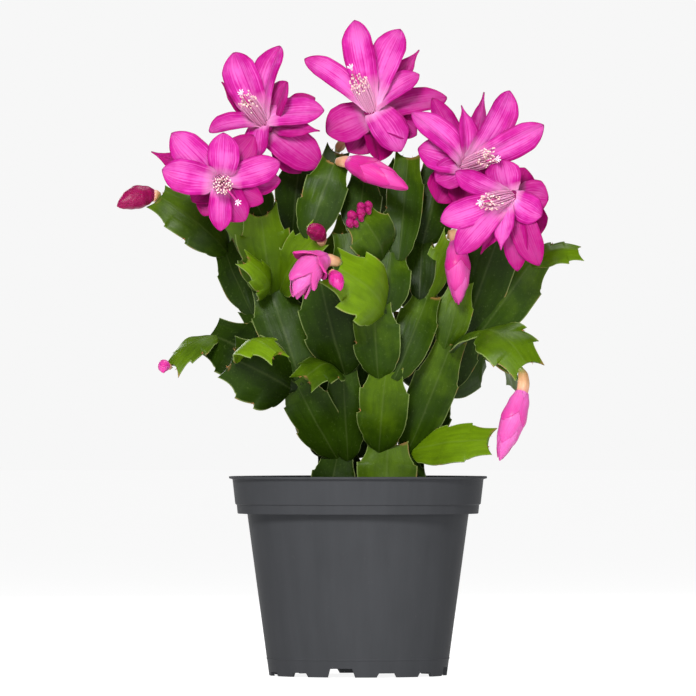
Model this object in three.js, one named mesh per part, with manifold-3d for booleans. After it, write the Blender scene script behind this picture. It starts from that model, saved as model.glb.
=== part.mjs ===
// A Christmas cactus in flower, in a black nursery pot.
// Millimetres, +Z up, the origin under the middle of the whole plant, the side that shows best facing -Y.
// The plant is five leafy stems of flat toothed joints, each joint growing from the tip of the one before,
// with five open blooms and a number of buds on the end joints.
import * as THREE from "three";
import { mergeVertices } from "three/addons/utils/BufferGeometryUtils.js";
import Module from "manifold-3d";

const wasm = await Module();
wasm.setup();

// The pot, radii and heights.
const rimRadius = 60;
const potHeight = 92.6;
const collarTopRadius = 58.4;
const collarStepHeight = 79.3;
const collarStepRadius = 57.1;
const collarFootHeight = 75.2;
const collarFootRadius = 56;
const bodyTopRadius = 51.5;
const footRadius = 41.3;
const wall = 1.2;
const floorHeight = 4.2;
const potSides = 32;
const notchPitch = 30; // degrees from one gap in the foot to the next
const notchTurn = -11; // degrees, where the first deep gap is, seen from the front
const drainHoleRadius = 4;

// The soil and the clearance between neighbours.
const soilHeight = 82;
const seat = 0.35;

// Blades.
const jointThick = 3.2;
const petalThick = 1.3;
const marginThick = 0.7;
const rootSink = 3; // how far back into its parent a joint starts

const vec = (a) => new THREE.Vector3(...a);

// Geometry from points and triangles, with each shared corner held once.
function closedGeometry(points, triangles) {
  const geometry = new THREE.BufferGeometry();
  const flat = points.flatMap((p) => [p.x, p.y, p.z]);
  geometry.setAttribute("position", new THREE.Float32BufferAttribute(flat, 3));
  geometry.setIndex(triangles);
  return geometry;
}

function solidOf(geometry) {
  const bare = geometry.clone();
  bare.deleteAttribute("normal");
  bare.deleteAttribute("uv");
  const merged = mergeVertices(bare, 1e-4);
  return new wasm.Manifold(
    new wasm.Mesh({
      numProp: 3,
      vertProperties: merged.attributes.position.array,
      triVerts: new Uint32Array(merged.index.array),
    }),
  );
}

function geometryOf(solid) {
  const mesh = solid.getMesh();
  const geometry = new THREE.BufferGeometry();
  const corners = new Float32Array(mesh.vertProperties);
  geometry.setAttribute("position", new THREE.BufferAttribute(corners, 3));
  geometry.setIndex(new THREE.BufferAttribute(new Uint32Array(mesh.triVerts), 1));
  return geometry;
}

const joined = (geometries) => geometries.map(solidOf).reduce((all, one) => all.add(one));

// A lens-sectioned blade along a bent spine. Each outline row is the share of the length, the left and the
// right half widths as shares of the widest, and how far the left and right margins lead the spine there.
function blade({ spine, side, wide, thick, outline, cup = 0, twist = 0, columns = 3 }) {
  const across = columns === 3 ? [-1, 0, 1] : [-1, -0.5, 0, 0.5, 1];
  const length = spine.getPoint(0).distanceTo(spine.getPoint(1));
  const front = [];
  const back = [];
  for (const [u, left, right, leadLeft = 0, leadRight = 0] of outline) {
    const along = spine.getTangent(u);
    const outward = side.clone().addScaledVector(along, -side.dot(along)).normalize();
    outward.applyAxisAngle(along, twist * u);
    const normal = outward.clone().cross(along).normalize();
    for (const v of across) {
      const reach = Math.abs(v);
      const half = (wide / 2) * (v < 0 ? left : right);
      const lead = length * (v < 0 ? leadLeft : leadRight) * reach * reach;
      const point = spine.getPoint(u).addScaledVector(along, lead).addScaledVector(outward, v * half);
      point.addScaledVector(normal, cup * half * reach * reach);
      const halfThick = marginThick / 2 + (thick / 2 - marginThick / 2) * (1 - reach ** 1.5);
      front.push(point.clone().addScaledVector(normal, halfThick));
      back.push(point.clone().addScaledVector(normal, -halfThick));
    }
  }
  const n = front.length;
  const last = columns - 1;
  const triangles = [];
  const quad = (a, b, c, d) => triangles.push(a, b, c, a, c, d);
  for (let row = 0; row < outline.length - 1; row++) {
    const a = row * columns;
    const d = a + columns;
    for (let j = 0; j < last; j++) {
      quad(a + j, a + j + 1, d + j + 1, d + j);
      triangles.push(n + a + j, n + d + j + 1, n + a + j + 1, n + a + j, n + d + j, n + d + j + 1);
    }
    quad(a, d, n + d, n + a);
    quad(a + last, n + a + last, n + d + last, d + last);
  }
  const end = n - columns;
  for (let j = 0; j < last; j++) {
    quad(j, n + j, n + j + 1, j + 1);
    quad(end + j, end + j + 1, n + end + j + 1, n + end + j);
  }
  return closedGeometry([...front, ...back], triangles);
}

// A round-sectioned body along a curve: a tube, an ovary, a bud, a filament. Stations are [share, radius].
// Flutes raise every second edge, and the edges can wind about the curve.
function loft(curve, stations, sides, { flute = 0, wind = 0 } = {}) {
  const points = [];
  const triangles = [];
  const first = curve.getTangentAt(stations[0][0]);
  const reference = Math.abs(first.z) < 0.8 ? new THREE.Vector3(0, 0, 1) : new THREE.Vector3(1, 0, 0);
  for (const [u, radius] of stations) {
    const along = curve.getTangentAt(u);
    const across = reference.clone().addScaledVector(along, -reference.dot(along)).normalize();
    const up = along.clone().cross(across);
    for (let k = 0; k < sides; k++) {
      const turn = (2 * Math.PI * k) / sides + wind * u;
      const reach = radius * (1 + (k % 2 ? -flute : flute));
      const point = curve.getPointAt(u).addScaledVector(across, reach * Math.cos(turn));
      points.push(point.addScaledVector(up, reach * Math.sin(turn)));
    }
  }
  for (let row = 0; row < stations.length - 1; row++)
    for (let k = 0; k < sides; k++) {
      const a = row * sides + k;
      const b = row * sides + ((k + 1) % sides);
      triangles.push(a, b, b + sides, a, b + sides, a + sides);
    }
  const top = (stations.length - 1) * sides;
  for (let k = 1; k < sides - 1; k++) triangles.push(0, k + 1, k, top, top + k, top + k + 1);
  return closedGeometry(points, triangles);
}

// Outlines of the joints: an old one with shallow teeth, a young one with hooked ones, a plain one for the
// shade.
const oldOutline = [
  [0, 0.2, 0.2],
  [0.18, 0.7, 0.72],
  [0.42, 1, 0.95, 0.03, 0],
  [0.49, 0.88, 0.98, 0, 0.03],
  [0.74, 0.97, 0.97, 0.03, 0.02],
  [0.8, 0.84, 0.84],
  [1, 0.64, 0.64, 0.08, 0.07],
];
const youngOutline = [
  [0, 0.2, 0.2],
  [0.2, 0.72, 0.68],
  [0.45, 1, 0.97, 0.06, 0.02],
  [0.53, 0.82, 0.95, 0, 0.04],
  [0.75, 0.96, 0.93, 0.08, 0.06],
  [0.81, 0.74, 0.74],
  [1, 0.6, 0.62, 0.16, 0.14],
];
const plainOutline = [
  [0, 0.2, 0.2],
  [0.16, 0.64, 0.64],
  [0.42, 0.98, 0.98],
  [0.66, 1, 1, 0.03, 0.02],
  [0.74, 0.86, 0.86],
  [1, 0.64, 0.64, 0.08, 0.07],
];
const petalOutline = [
  [0, 0.14, 0.14],
  [0.32, 0.62, 0.62],
  [0.66, 1, 1],
  [0.87, 0.7, 0.7],
  [1, 0.12, 0.12],
];
const outerPetalOutline = [
  [0, 0.16, 0.16],
  [0.45, 0.85, 0.85],
  [0.74, 1, 1],
  [1, 0.14, 0.14],
];
const forms = { old: oldOutline, young: youngOutline, plain: plainOutline };

// The joints of each stem: name, parent, sideways step from the parent's tip, tip, width, the way the broad face
// looks, how far the spine arches towards that way as a share of the length, how far the margins cup towards it as a
// share of the half width, and the form. A joint with no parent starts in the soil, where `from` says.
const stems = {
  stem_left: [
    {
      name: "a0", from: [-15, 6, 70], tip: [-9, 3, 104], wide: 22, face: [-0.2, -1, 0], arch: 0.02,
      cup: -0.1, form: "plain",
    },
    {
      name: "a1", on: "a0", tip: [-29, -14, 137], wide: 23, face: [-0.25, -0.9, 0.1], arch: 0.05,
      cup: -0.12,
    },
    {
      name: "a2", on: "a1", side: -4, tip: [-58, -34, 147], wide: 33, face: [0.05, -1, 0.15],
      arch: 0.1, cup: -0.15,
    },
    {
      name: "a3", on: "a2", tip: [-38, -52, 149], wide: 20, face: [0.1, -0.6, 0.8], arch: 0.3,
      cup: -0.2, form: "young", fine: true,
    },
    {
      name: "a4", on: "a1", side: 2, tip: [-41, -8, 180], wide: 26, face: [0, -1, 0.05], arch: 0.02,
      cup: -0.08,
    },
    {
      name: "a5", on: "a1", side: 0, tip: [-68, 0, 158], wide: 31, face: [-0.1, -0.9, 0.35],
      arch: 0.12, cup: -0.15,
    },
    {
      name: "a6", on: "a5", tip: [-85, -14, 144], wide: 16, face: [-0.4, -0.7, 0.6], arch: 0.14,
      cup: -0.2, form: "young",
    },
    {
      name: "a7", on: "a1", side: 2, tip: [-50, 2, 170], wide: 18, face: [-0.2, -1, 0], arch: 0.05,
      form: "plain",
    },
    {
      name: "a8", on: "a7", tip: [-62, 10, 199], wide: 17, face: [-0.4, -0.9, 0], arch: 0.04,
      cup: 0.1, form: "plain",
    },
    {
      name: "a9", on: "a8", tip: [-92, 8, 222], wide: 22, face: [-0.1, -0.85, 0.5], arch: 0.12,
      cup: -0.12,
    },
    {
      name: "a10", on: "a4", side: -1, tip: [-45, -24, 213], wide: 27, face: [0.1, -1, 0.1],
      arch: 0.06, cup: -0.1, form: "young", fine: true,
    },
    {
      name: "a11", on: "a10", side: 2, tip: [-53, -12, 231], wide: 18, face: [0.1, -0.9, -0.3],
      arch: 0.03, form: "plain",
    },
    {
      name: "a12", on: "a4", side: -6, tip: [-51, -30, 192], wide: 15, face: [0.7, -0.7, 0.1],
      arch: 0.25, cup: -0.3, form: "young",
    },
    {
      name: "a13", on: "a4", side: 5, tip: [-20, -34, 202], wide: 24, face: [0.1, -0.8, 0.5],
      arch: 0.08, cup: 0.1, form: "young",
    },
    {
      name: "a14", on: "a13", side: -3, tip: [-11, -26, 237], wide: 21, face: [-0.1, -1, 0.1],
      arch: 0.06, cup: -0.12,
    },
    {
      name: "a15", on: "a0", side: 5, tip: [-7, -12, 143], wide: 20, face: [0, -1, 0], arch: 0.05,
      cup: -0.1, form: "plain",
    },
    {
      name: "a16", on: "a15", side: -3, tip: [-24, -34, 138], wide: 22, face: [-0.1, -0.8, 0.6],
      arch: 0.2, cup: -0.15, form: "young",
    },
    {
      name: "a17", on: "a15", side: 1, tip: [-17, -26, 182], wide: 29, face: [-0.2, -1, 0],
      arch: 0.06, cup: -0.12,
    },
  ],
  stem_front: [
    {
      name: "b0", from: [12, -5, 70], tip: [14, -6, 107], wide: 29, face: [0, -1, 0], arch: 0.02,
      cup: -0.1,
    },
    {
      name: "b1", on: "b0", side: -4, tip: [13, -22, 141], wide: 24, face: [-0.1, -1, 0], arch: 0.05,
      cup: -0.15,
    },
    {
      name: "b2", on: "b1", side: -3, tip: [8, -32, 171], wide: 23, face: [-0.25, -1, 0], arch: 0.04,
      cup: -0.12,
    },
    {
      name: "b3", on: "b2", side: 3, tip: [-9, -54, 188], wide: 33, face: [0.5, -0.8, 0.1],
      arch: 0.2, cup: -0.15, form: "young", fine: true,
    },
    {
      name: "b4", on: "b2", side: -2, tip: [-4, -26, 205], wide: 24, face: [0, -1, 0.1], arch: 0.03,
      cup: -0.1,
    },
    {
      name: "b5", on: "b2", side: 4, tip: [15, -28, 196], wide: 22, face: [0.1, -1, 0], arch: 0.03,
      cup: -0.1,
    },
    {
      name: "b6", on: "b5", side: -4, tip: [2, -42, 211], wide: 26, face: [0.1, -0.9, 0.45],
      arch: 0.14, cup: -0.1,
    },
    {
      name: "b7", on: "b5", side: 4, tip: [23, -14, 240], wide: 18, face: [0.1, -1, 0], arch: 0.03,
      cup: -0.08,
    },
    {
      name: "b8", on: "b1", side: 4, tip: [32, -14, 176], wide: 20, face: [0.15, -1, 0], arch: 0.05,
      cup: -0.12,
    },
    {
      name: "b9", on: "b8", tip: [42, -8, 202], wide: 14, face: [0.4, -0.9, 0.1], arch: -0.04,
      cup: -0.15, form: "young",
    },
    {
      name: "b11", on: "b8", side: -3, tip: [30, -6, 203], wide: 14, face: [0, -1, 0.1], arch: 0.03,
      form: "plain",
    },
    { name: "b12", on: "b11", tip: [38, -4, 234], wide: 26, face: [0.1, -1, 0], arch: 0.05, cup: -0.1 },
    {
      name: "b13", on: "b4", side: 3, tip: [3, -14, 232], wide: 19, face: [0, -1, 0.1], arch: 0.03,
      form: "plain",
    },
  ],
  stem_right: [
    {
      name: "c0", from: [27, 2, 70], tip: [20, 0, 106], wide: 18, face: [0.3, -1, 0], arch: 0.02,
      cup: -0.1, form: "plain",
    },
    {
      name: "c1", on: "c0", side: 2, tip: [43, -10, 154], wide: 22, face: [0.2, -1, 0], arch: 0.04,
      cup: -0.12, form: "plain",
    },
    {
      name: "c2", on: "c1", side: 2, tip: [60, -24, 159], wide: 17, face: [0, -0.35, 0.95],
      arch: 0.12, cup: -0.1,
    },
    {
      name: "c3", on: "c2", tip: [77, -42, 144.5], wide: 28, face: [0.1, -0.8, 0.55], arch: 0.2,
      cup: -0.15, form: "young", fine: true,
    },
    {
      name: "c4", on: "c1", side: -2, tip: [48, -8, 182], wide: 17, face: [0.1, -1, 0], arch: 0.04,
      cup: -0.12, form: "plain",
    },
    {
      name: "c5", on: "c0", side: 5, tip: [60, -24, 109], wide: 21, face: [0.05, -0.9, 0.4],
      arch: 0.06, cup: -0.08,
    },
  ],
  stem_back_right: [
    {
      name: "d0", from: [16, 18, 70], tip: [24, 16, 104], wide: 24, face: [0.2, 1, 0], arch: 0.02,
      cup: -0.1, form: "plain",
    },
    {
      name: "d1", on: "d0", tip: [38, 15, 134], wide: 24, face: [0.3, 1, 0], arch: 0.03, cup: -0.1,
      form: "plain",
    },
    {
      name: "d2", on: "d1", tip: [53, 6, 160], wide: 19, face: [0.1, -1, 0], arch: 0.03, cup: -0.1,
      form: "plain",
    },
    {
      name: "d3", on: "d2", side: -3, tip: [66, -6, 206], wide: 26, face: [0.05, -1, 0], arch: 0.02,
      cup: -0.1,
    },
    {
      name: "d4", on: "d2", side: 3, tip: [82, 4, 194], wide: 26, face: [0.2, -1, 0.1], arch: 0.05,
      cup: -0.1,
    },
    {
      name: "d5", on: "d4", tip: [102, 3, 197], wide: 14, face: [-0.2, -0.8, 0.55], arch: 0.2,
      cup: -0.25, form: "young",
    },
    {
      name: "d6", on: "d1", side: 4, tip: [58, 48, 150], wide: 24, face: [0.9, 0.2, 0.4], arch: 0.15,
      cup: -0.12, form: "plain",
    },
    {
      name: "d7", on: "d6", tip: [74, 68, 134], wide: 20, face: [0.8, 0.1, 0.6], arch: 0.16,
      cup: -0.15, form: "plain",
    },
    {
      name: "d8", on: "d1", side: -3, tip: [28, 48, 170], wide: 35, face: [0, 1, 0.2], arch: 0.05,
      cup: -0.1, form: "plain",
    },
    {
      name: "d9", on: "d8", side: -3, tip: [24, 60, 204], wide: 33, face: [-0.3, 0.9, 0.2],
      arch: 0.06, cup: -0.1, form: "plain",
    },
    {
      name: "d10", on: "d8", side: 3, tip: [54, 60, 192], wide: 24, face: [0.9, 0.4, 0.2],
      arch: 0.08, cup: -0.1, form: "plain",
    },
    {
      name: "d11", on: "d9", tip: [36, 74, 224], wide: 20, face: [0.8, 0.5, 0.3], arch: 0.1,
      cup: -0.15, form: "plain",
    },
    {
      name: "d12", on: "d9", side: -4, tip: [11, 66, 236], wide: 26, face: [0.1, 1, 0.1], arch: 0.04,
      cup: -0.1, form: "plain",
    },
  ],
  stem_back_left: [
    {
      name: "e0", from: [-4, 20, 70], tip: [-10, 20, 104], wide: 28, face: [-0.1, 1, 0], arch: 0.02,
      cup: -0.1, form: "plain",
    },
    {
      name: "e1", on: "e0", side: 3, tip: [-22, 22, 142], wide: 27, face: [-0.2, 1, 0], arch: 0.04,
      cup: -0.1, form: "plain",
    },
    {
      name: "e2", on: "e1", side: 3, tip: [-26, 14, 172], wide: 26, face: [-0.1, 1, 0], arch: 0.03,
      cup: -0.1, form: "plain",
    },
    {
      name: "e3", on: "e2", tip: [-29, 6, 205], wide: 20, face: [0, -1, 0], arch: 0.03, cup: -0.1,
      form: "plain",
    },
    {
      name: "e4", on: "e3", side: -2, tip: [-27, 4, 239], wide: 22, face: [-0.1, -1, 0], arch: 0.04,
      cup: -0.1,
    },
    {
      name: "e5", on: "e3", side: 3, tip: [-10, 6, 243], wide: 18, face: [0.1, -1, 0], arch: 0.04,
      cup: -0.1, form: "plain",
    },
    {
      name: "e6", on: "e0", side: -5, tip: [9, 34, 140.5], wide: 37, face: [0, 1, 0], arch: 0.04,
      cup: -0.1, form: "plain",
    },
    {
      name: "e7", on: "e6", side: 3, tip: [-5, 43, 176], wide: 33, face: [-0.2, 0.95, 0.1],
      arch: 0.05, cup: -0.1, form: "plain",
    },
    {
      name: "e8", on: "e7", tip: [1, 47, 212], wide: 34, face: [0.1, 0.95, 0.2], arch: 0.05,
      cup: -0.1, form: "plain",
    },
    {
      name: "e9", on: "e1", side: -3, tip: [-54, 46, 158], wide: 27, face: [-0.9, 0.2, 0.4],
      arch: 0.12, cup: -0.12, form: "plain",
    },
    {
      name: "e10", on: "e9", tip: [-64, 66, 152], wide: 21, face: [-0.8, 0.1, 0.6], arch: 0.18,
      cup: -0.15, form: "plain",
    },
    {
      name: "e11", on: "e2", side: 4, tip: [-46, 52, 196], wide: 25, face: [-0.9, 0.4, 0.2],
      arch: 0.07, cup: -0.1, form: "plain",
    },
    {
      name: "e12", on: "e11", tip: [-64, 66, 216], wide: 22, face: [-0.8, 0.2, 0.5], arch: 0.12,
      cup: -0.12, form: "plain",
    },
  ],
};

// The open blooms: the joint that carries each, its throat, the way it looks, the tip of its brush of stamens and the
// tip of its style, both from the throat. Each petal is its tier, the tip from the throat as x, y, z, and its width.
// Tier 0 grows at the throat, tier 1 a little back along the tube, tier 2 low on it.
const blooms = [
  {
    on: "a11",
    throat: [-63.5, -44, 229],
    look: [0.15, -0.97, -0.15],
    brush: [2, -16, -3],
    style: [8, -24, -10],
    petals: [
      [0, -22.5, -5, 22, 15], [2, -32, 5, 13.5, 9], [0, -27, -6, 5, 14], [0, 1.5, -7, 22, 13],
      [1, 15.5, -1, 21, 13], [0, 28, -4, 8.5, 12], [1, 28, 2, 0, 12], [0, 0, -8, -23.5, 10],
      [1, 11, -1, -19, 13], [2, -13, 3, -9.5, 12], [2, -8, 4, -16, 11], [1, 20, -3, -10, 10],
    ],
  },
  {
    on: "e4",
    throat: [-44.5, -22, 257],
    look: [-0.4, -0.75, 0.5],
    brush: [-8, -12, 11],
    style: [-9, -17, 12],
    petals: [
      [0, -13.5, -3, 32, 16], [0, 8.5, 0, 35, 14], [2, -19, 5, 18.5, 9], [0, -24.5, -6, -5, 11],
      [1, 12, -8, 18, 13], [2, 24.5, 4, 11.5, 12], [0, 29, -4, 5, 14], [1, 27, -8, -5, 9],
      [0, -2, -8, -17, 11], [1, 28, 0, -21, 16], [2, 18, 1, -24, 13],
    ],
  },
  {
    on: "e5",
    throat: [6, -14, 263],
    look: [-0.2, -0.8, 0.5],
    brush: [-7, -9, 15],
    style: [-9, -13, 18],
    petals: [
      [0, -31, -3, 23.5, 11], [0, -8, 0, 41.5, 13], [0, 14, 0, 37, 14], [1, 22.5, 4, 27.5, 9],
      [0, 22.5, -3, 16, 11], [1, 35.5, 5, 5.5, 13], [1, 21.5, 0, -12, 14], [1, -20.5, 2, -11.5, 18],
      [2, -10.5, 4, -20, 14], [2, 4.5, 2, -24, 16], [0, 14, -5, -20, 15],
    ],
  },
  {
    on: "b12",
    throat: [49.5, -26, 236.5],
    look: [0.5, -0.8, 0.15],
    brush: [13, -14, 4.5],
    style: [14, -14, 2.5],
    petals: [
      [0, 36.5, -4, 18.5, 12.5], [0, 21.5, 0, 35, 13], [1, 8.5, 4, 34, 9], [0, -1.5, -4, 28, 9],
      [1, -15.5, 4, 31, 11], [0, -25, -2, 24.5, 12], [0, -22, -4, 8, 15], [0, -14, -5, -7, 13],
      [2, -13, 3, -17, 15], [2, -3.5, 2, -19, 12], [0, 6, -3, -9, 9], [2, 14, 4, -6, 12],
    ],
  },
  {
    on: "d3",
    throat: [70, -34, 222],
    look: [-0.4, -0.85, -0.2],
    brush: [-12, -12, -3.5],
    style: [-13, -15, -3],
    petals: [
      [0, -25.5, -9, 11, 10], [0, -4, -1, 17, 15], [2, 7, 5, 13, 12], [1, 18, 3, -1, 15],
      [0, 15, -5, -9, 13], [2, 14, 4, -18, 14], [0, -32.5, -6, -11.5, 12], [0, -24.5, -6, -27, 12],
      [1, -13.5, -1, -27, 9], [0, -4, -5, -25, 9], [1, 13.5, -2, -32.5, 12], [1, 3.5, 2, -35, 10],
    ],
  },
];

// The buds: the joint that carries each, how far along the joint's tip edge it stands, its tip, its widest diameter,
// the point that bends it, and whether it stands on a long pale tube or a short one.
const buds = [
  {
    name: "bud_far_left", on: "a9", tip: [-112, 0, 218], wide: 11, bend: [-102, 5, 224], tube: 0.15,
    wraps: [[0.8, 2]],
  },
  {
    name: "bud_top", on: "a14", side: 1, tip: [23, -50, 225], wide: 12, bend: [-3, -44, 239],
    rise: 0.06, tube: 0.24, wraps: [[0.8, 1.2]],
  },
  {
    name: "bud_opening", on: "b3", side: 3, nudge: 1.75, tip: [-28, -69, 174], wide: 13,
    bend: [-24, -67, 195], tube: 0.24, open: 1.25, wraps: [[0.95, 1], [0.8, 3.6]],
  },
  {
    name: "bud_small", on: "b3", side: -3.5, nudge: 0.7, tip: [-8, -68, 178], wide: 7,
    bend: [-10, -65, 186], tube: 0.3,
  },
  {
    name: "bud_round", on: "a13", side: 4, nudge: 0.9, tip: [-22.5, -52, 205.5], wide: 8,
    bend: [-19.5, -43.5, 208], tube: 0.2,
  },
  {
    name: "bud_hanging", on: "b9", tip: [46.5, -19, 172], wide: 12, bend: [46, -23, 205], tube: 0.28,
    wraps: [[0.8, 1.6]],
  },
  {
    name: "bud_low_right", on: "c3", side: 3.5, nudge: 1.1, tip: [65, -53, 100], wide: 12,
    bend: [72, -56, 124], tube: 0.27, wraps: [[0.8, 1.4]],
  },
  {
    name: "bud_left_tip", on: "a6", side: 2, tip: [-90, -21, 140.5], wide: 5.6, bend: [-91, -18, 147],
    tube: 0.26,
  },
  { name: "bud_back_left", on: "e12", tip: [-83, 70, 208], wide: 9, bend: [-77, 71, 221], tube: 0.18 },
  { name: "bud_back_right", on: "d11", tip: [50, 92, 224], wide: 10, bend: [42, 85, 234], tube: 0.18 },
];

// Bunches of bead-like young buds on a joint's tip: each bead's place along the tip edge and out of it, and its
// diameter.
const clusters = [
  {
    name: "bud_bunch",
    on: "b6",
    nudge: 0.9,
    lean: [-0.2, -0.8, 0.6],
    beads: [[-6.5, -1, 5], [-3, 1.5, 6], [1, -1, 5.6], [3.5, 1.8, 5.4], [6.5, -0.5, 4.6]],
  },
  {
    name: "bud_beads_left", on: "a10", nudge: 1.6, lean: [-0.1, -0.8, 0.6],
    beads: [[-5, 0, 3.4], [-2.2, 0.5, 3.8]],
  },
];

const joints = {};

function spineOf(start, tip, side, face, arch) {
  const middle = start.clone().lerp(tip, 0.5);
  const chord = tip.clone().sub(start);
  const square = face.clone().addScaledVector(side, -face.dot(side));
  const bulge = square.cross(side).cross(side).negate().normalize();
  middle.addScaledVector(bulge, 2 * arch * chord.length());
  return new THREE.QuadraticBezierCurve3(start, middle, tip);
}

function makeJoint(row, grow = 0) {
  const { name, on, from, side = 0, wide, arch = 0, cup = 0, form = "old", fine = false } = row;
  const tip = vec(row.tip);
  const parent = joints[on];
  const start = parent
    ? parent.tip.clone().addScaledVector(parent.along, -rootSink).addScaledVector(parent.across, side)
    : vec(from);
  const chordLength = tip.distanceTo(start);
  const chord = tip.clone().sub(start).normalize();
  const across = chord.clone().cross(vec(row.face)).normalize();
  const face = across.clone().cross(chord).normalize();
  const spine = spineOf(start, tip, across, face, arch);
  const last = forms[form][forms[form].length - 1];
  const horn = chordLength * last[3];
  joints[name] = { tip, across, along: spine.getTangent(1), horn, half: (wide / 2) * last[1] };
  return blade({
    spine,
    side: across,
    wide: wide + grow,
    thick: jointThick + grow,
    cup,
    outline: forms[form],
    columns: fine ? 5 : 3,
  });
}

// Where a bloom or bud stands: just clear of the joint's tip, setting out the way that the joint points.
function standOn(name, girth, side = 0, nudge = 0) {
  const { tip, across, along, horn, half } = joints[name];
  const clear = seat - nudge + horn * Math.min(1, (Math.abs(side) + girth) / half);
  const foot = tip.clone().addScaledVector(along, clear).addScaledVector(across, side);
  return { foot, along };
}

const group = new THREE.Group();
const colours = {
  pot: { color: 0x3a3c40, roughness: 0.45 },
  soil: { color: 0x2c211a, roughness: 1 },
  green: { color: 0x3d5c1a, roughness: 0.45 },
  petal: { color: 0xe0249e, roughness: 0.5 },
  stamen: { color: 0xf3c6d4, roughness: 0.5 },
  ovary: { color: 0xc98a52, roughness: 0.5 },
};

function place(name, solid, colour) {
  const finish = new THREE.MeshStandardMaterial({ ...colours[colour], metalness: 0 });
  const mesh = new THREE.Mesh(geometryOf(solid), finish);
  mesh.name = name;
  group.add(mesh);
}

// The pot: a thin moulded shell with a stepped collar, a floor above the foot ring, gaps in the ring and drain
// holes.
function makePot() {
  const bodyRadius = (z) => footRadius + ((bodyTopRadius - footRadius) * z) / collarFootHeight;
  const lip = potHeight - 1;
  const ledge = collarFootHeight + wall;
  const profile = [
    [0, floorHeight], [bodyRadius(floorHeight) - wall - 0.6, floorHeight], [footRadius - wall - 0.6, 0],
    [footRadius, 0], [bodyTopRadius, collarFootHeight], [collarFootRadius, collarFootHeight],
    [collarFootRadius + 0.4, collarStepHeight], [collarStepRadius, collarStepHeight + 0.4],
    [collarTopRadius, lip - 0.4], [rimRadius, lip], [rimRadius, potHeight],
    [collarTopRadius - wall, potHeight],
    [collarFootRadius - wall, ledge], [bodyTopRadius - wall, ledge],
    [bodyRadius(floorHeight) - wall, floorHeight + wall], [0, floorHeight + wall],
  ].map(([r, z]) => new THREE.Vector2(r, z));
  const shell = new THREE.LatheGeometry(profile, potSides).rotateX(Math.PI / 2);
  let pot = solidOf(shell);
  const gaps = 360 / notchPitch;
  for (let k = 0; k < gaps; k++) {
    const deep = k % 3 === 0;
    const wide = deep ? 10.5 : 8;
    const tall = deep ? floorHeight - 0.1 : 1.9;
    const flare = 1.6;
    const shape = new THREE.Shape([
      new THREE.Vector2(-wide / 2 - flare, -1), new THREE.Vector2(wide / 2 + flare, -1),
      new THREE.Vector2(wide / 2, tall), new THREE.Vector2(-wide / 2, tall),
    ]);
    const cutter = new THREE.ExtrudeGeometry(shape, { depth: 10, bevelEnabled: false });
    cutter.rotateX(Math.PI / 2).translate(0, -footRadius + 5, 0);
    cutter.rotateZ(THREE.MathUtils.degToRad(notchTurn + k * notchPitch));
    pot = pot.subtract(solidOf(cutter));
  }
  for (let k = 0; k < 6; k++) {
    const hole = new THREE.CylinderGeometry(drainHoleRadius, drainHoleRadius, 6, 8).rotateX(Math.PI / 2);
    const turn = (k * Math.PI) / 3;
    hole.translate(27 * Math.cos(turn), 27 * Math.sin(turn), floorHeight + wall / 2);
    pot = pot.subtract(solidOf(hole));
  }
  return pot;
}

// The soil fills the pot to a finger's width below the rim, lumpy on top, with a plain slot for each stem.
function makeSoil() {
  const bodyRadius = (z) => footRadius + ((bodyTopRadius - footRadius) * z) / collarFootHeight - wall - seat;
  const base = floorHeight + wall + seat;
  const ledge = collarFootHeight + wall + seat;
  const flare = (collarTopRadius - collarFootRadius) / 16;
  const edge = collarFootRadius - wall - seat + flare * (soilHeight - ledge);
  const profile = [
    [0, base], [bodyRadius(base), base], [bodyTopRadius - wall - seat, ledge],
    [collarFootRadius - wall - seat, ledge],
    [edge, soilHeight - 0.6], [36, soilHeight], [0, soilHeight],
  ].map(([r, z]) => new THREE.Vector2(r, z));
  const body = new THREE.LatheGeometry(profile, potSides).rotateX(Math.PI / 2);
  const at = body.attributes.position;
  for (let i = 0; i < at.count; i++) {
    const reach = Math.hypot(at.getX(i), at.getY(i));
    if (at.getZ(i) < soilHeight - 0.01 || reach > 50) continue;
    const ripple = Math.sin(0.42 * at.getX(i) + 1) * Math.cos(0.37 * at.getY(i));
    const lump = ripple + Math.sin(0.9 * at.getY(i)) * 0.5;
    at.setZ(i, soilHeight + 0.9 * lump);
  }
  return solidOf(body);
}

// A bloom's tube, from the joint's tip to the throat, and how stout it is along the way.
function tubeOf(bloom) {
  const { foot, along } = standOn(bloom.on, 1.3);
  const throat = vec(bloom.throat);
  const look = vec(bloom.look).normalize();
  const reach = foot.distanceTo(throat);
  const first = foot.clone().addScaledVector(along, reach * 0.35);
  const second = throat.clone().addScaledVector(look, -reach * 0.4);
  return { curve: new THREE.CubicBezierCurve3(foot, first, second, throat), throat, look };
}

const ovaryShare = 0.24;
const tierShare = [0.97, 0.8, 0.58];

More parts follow.
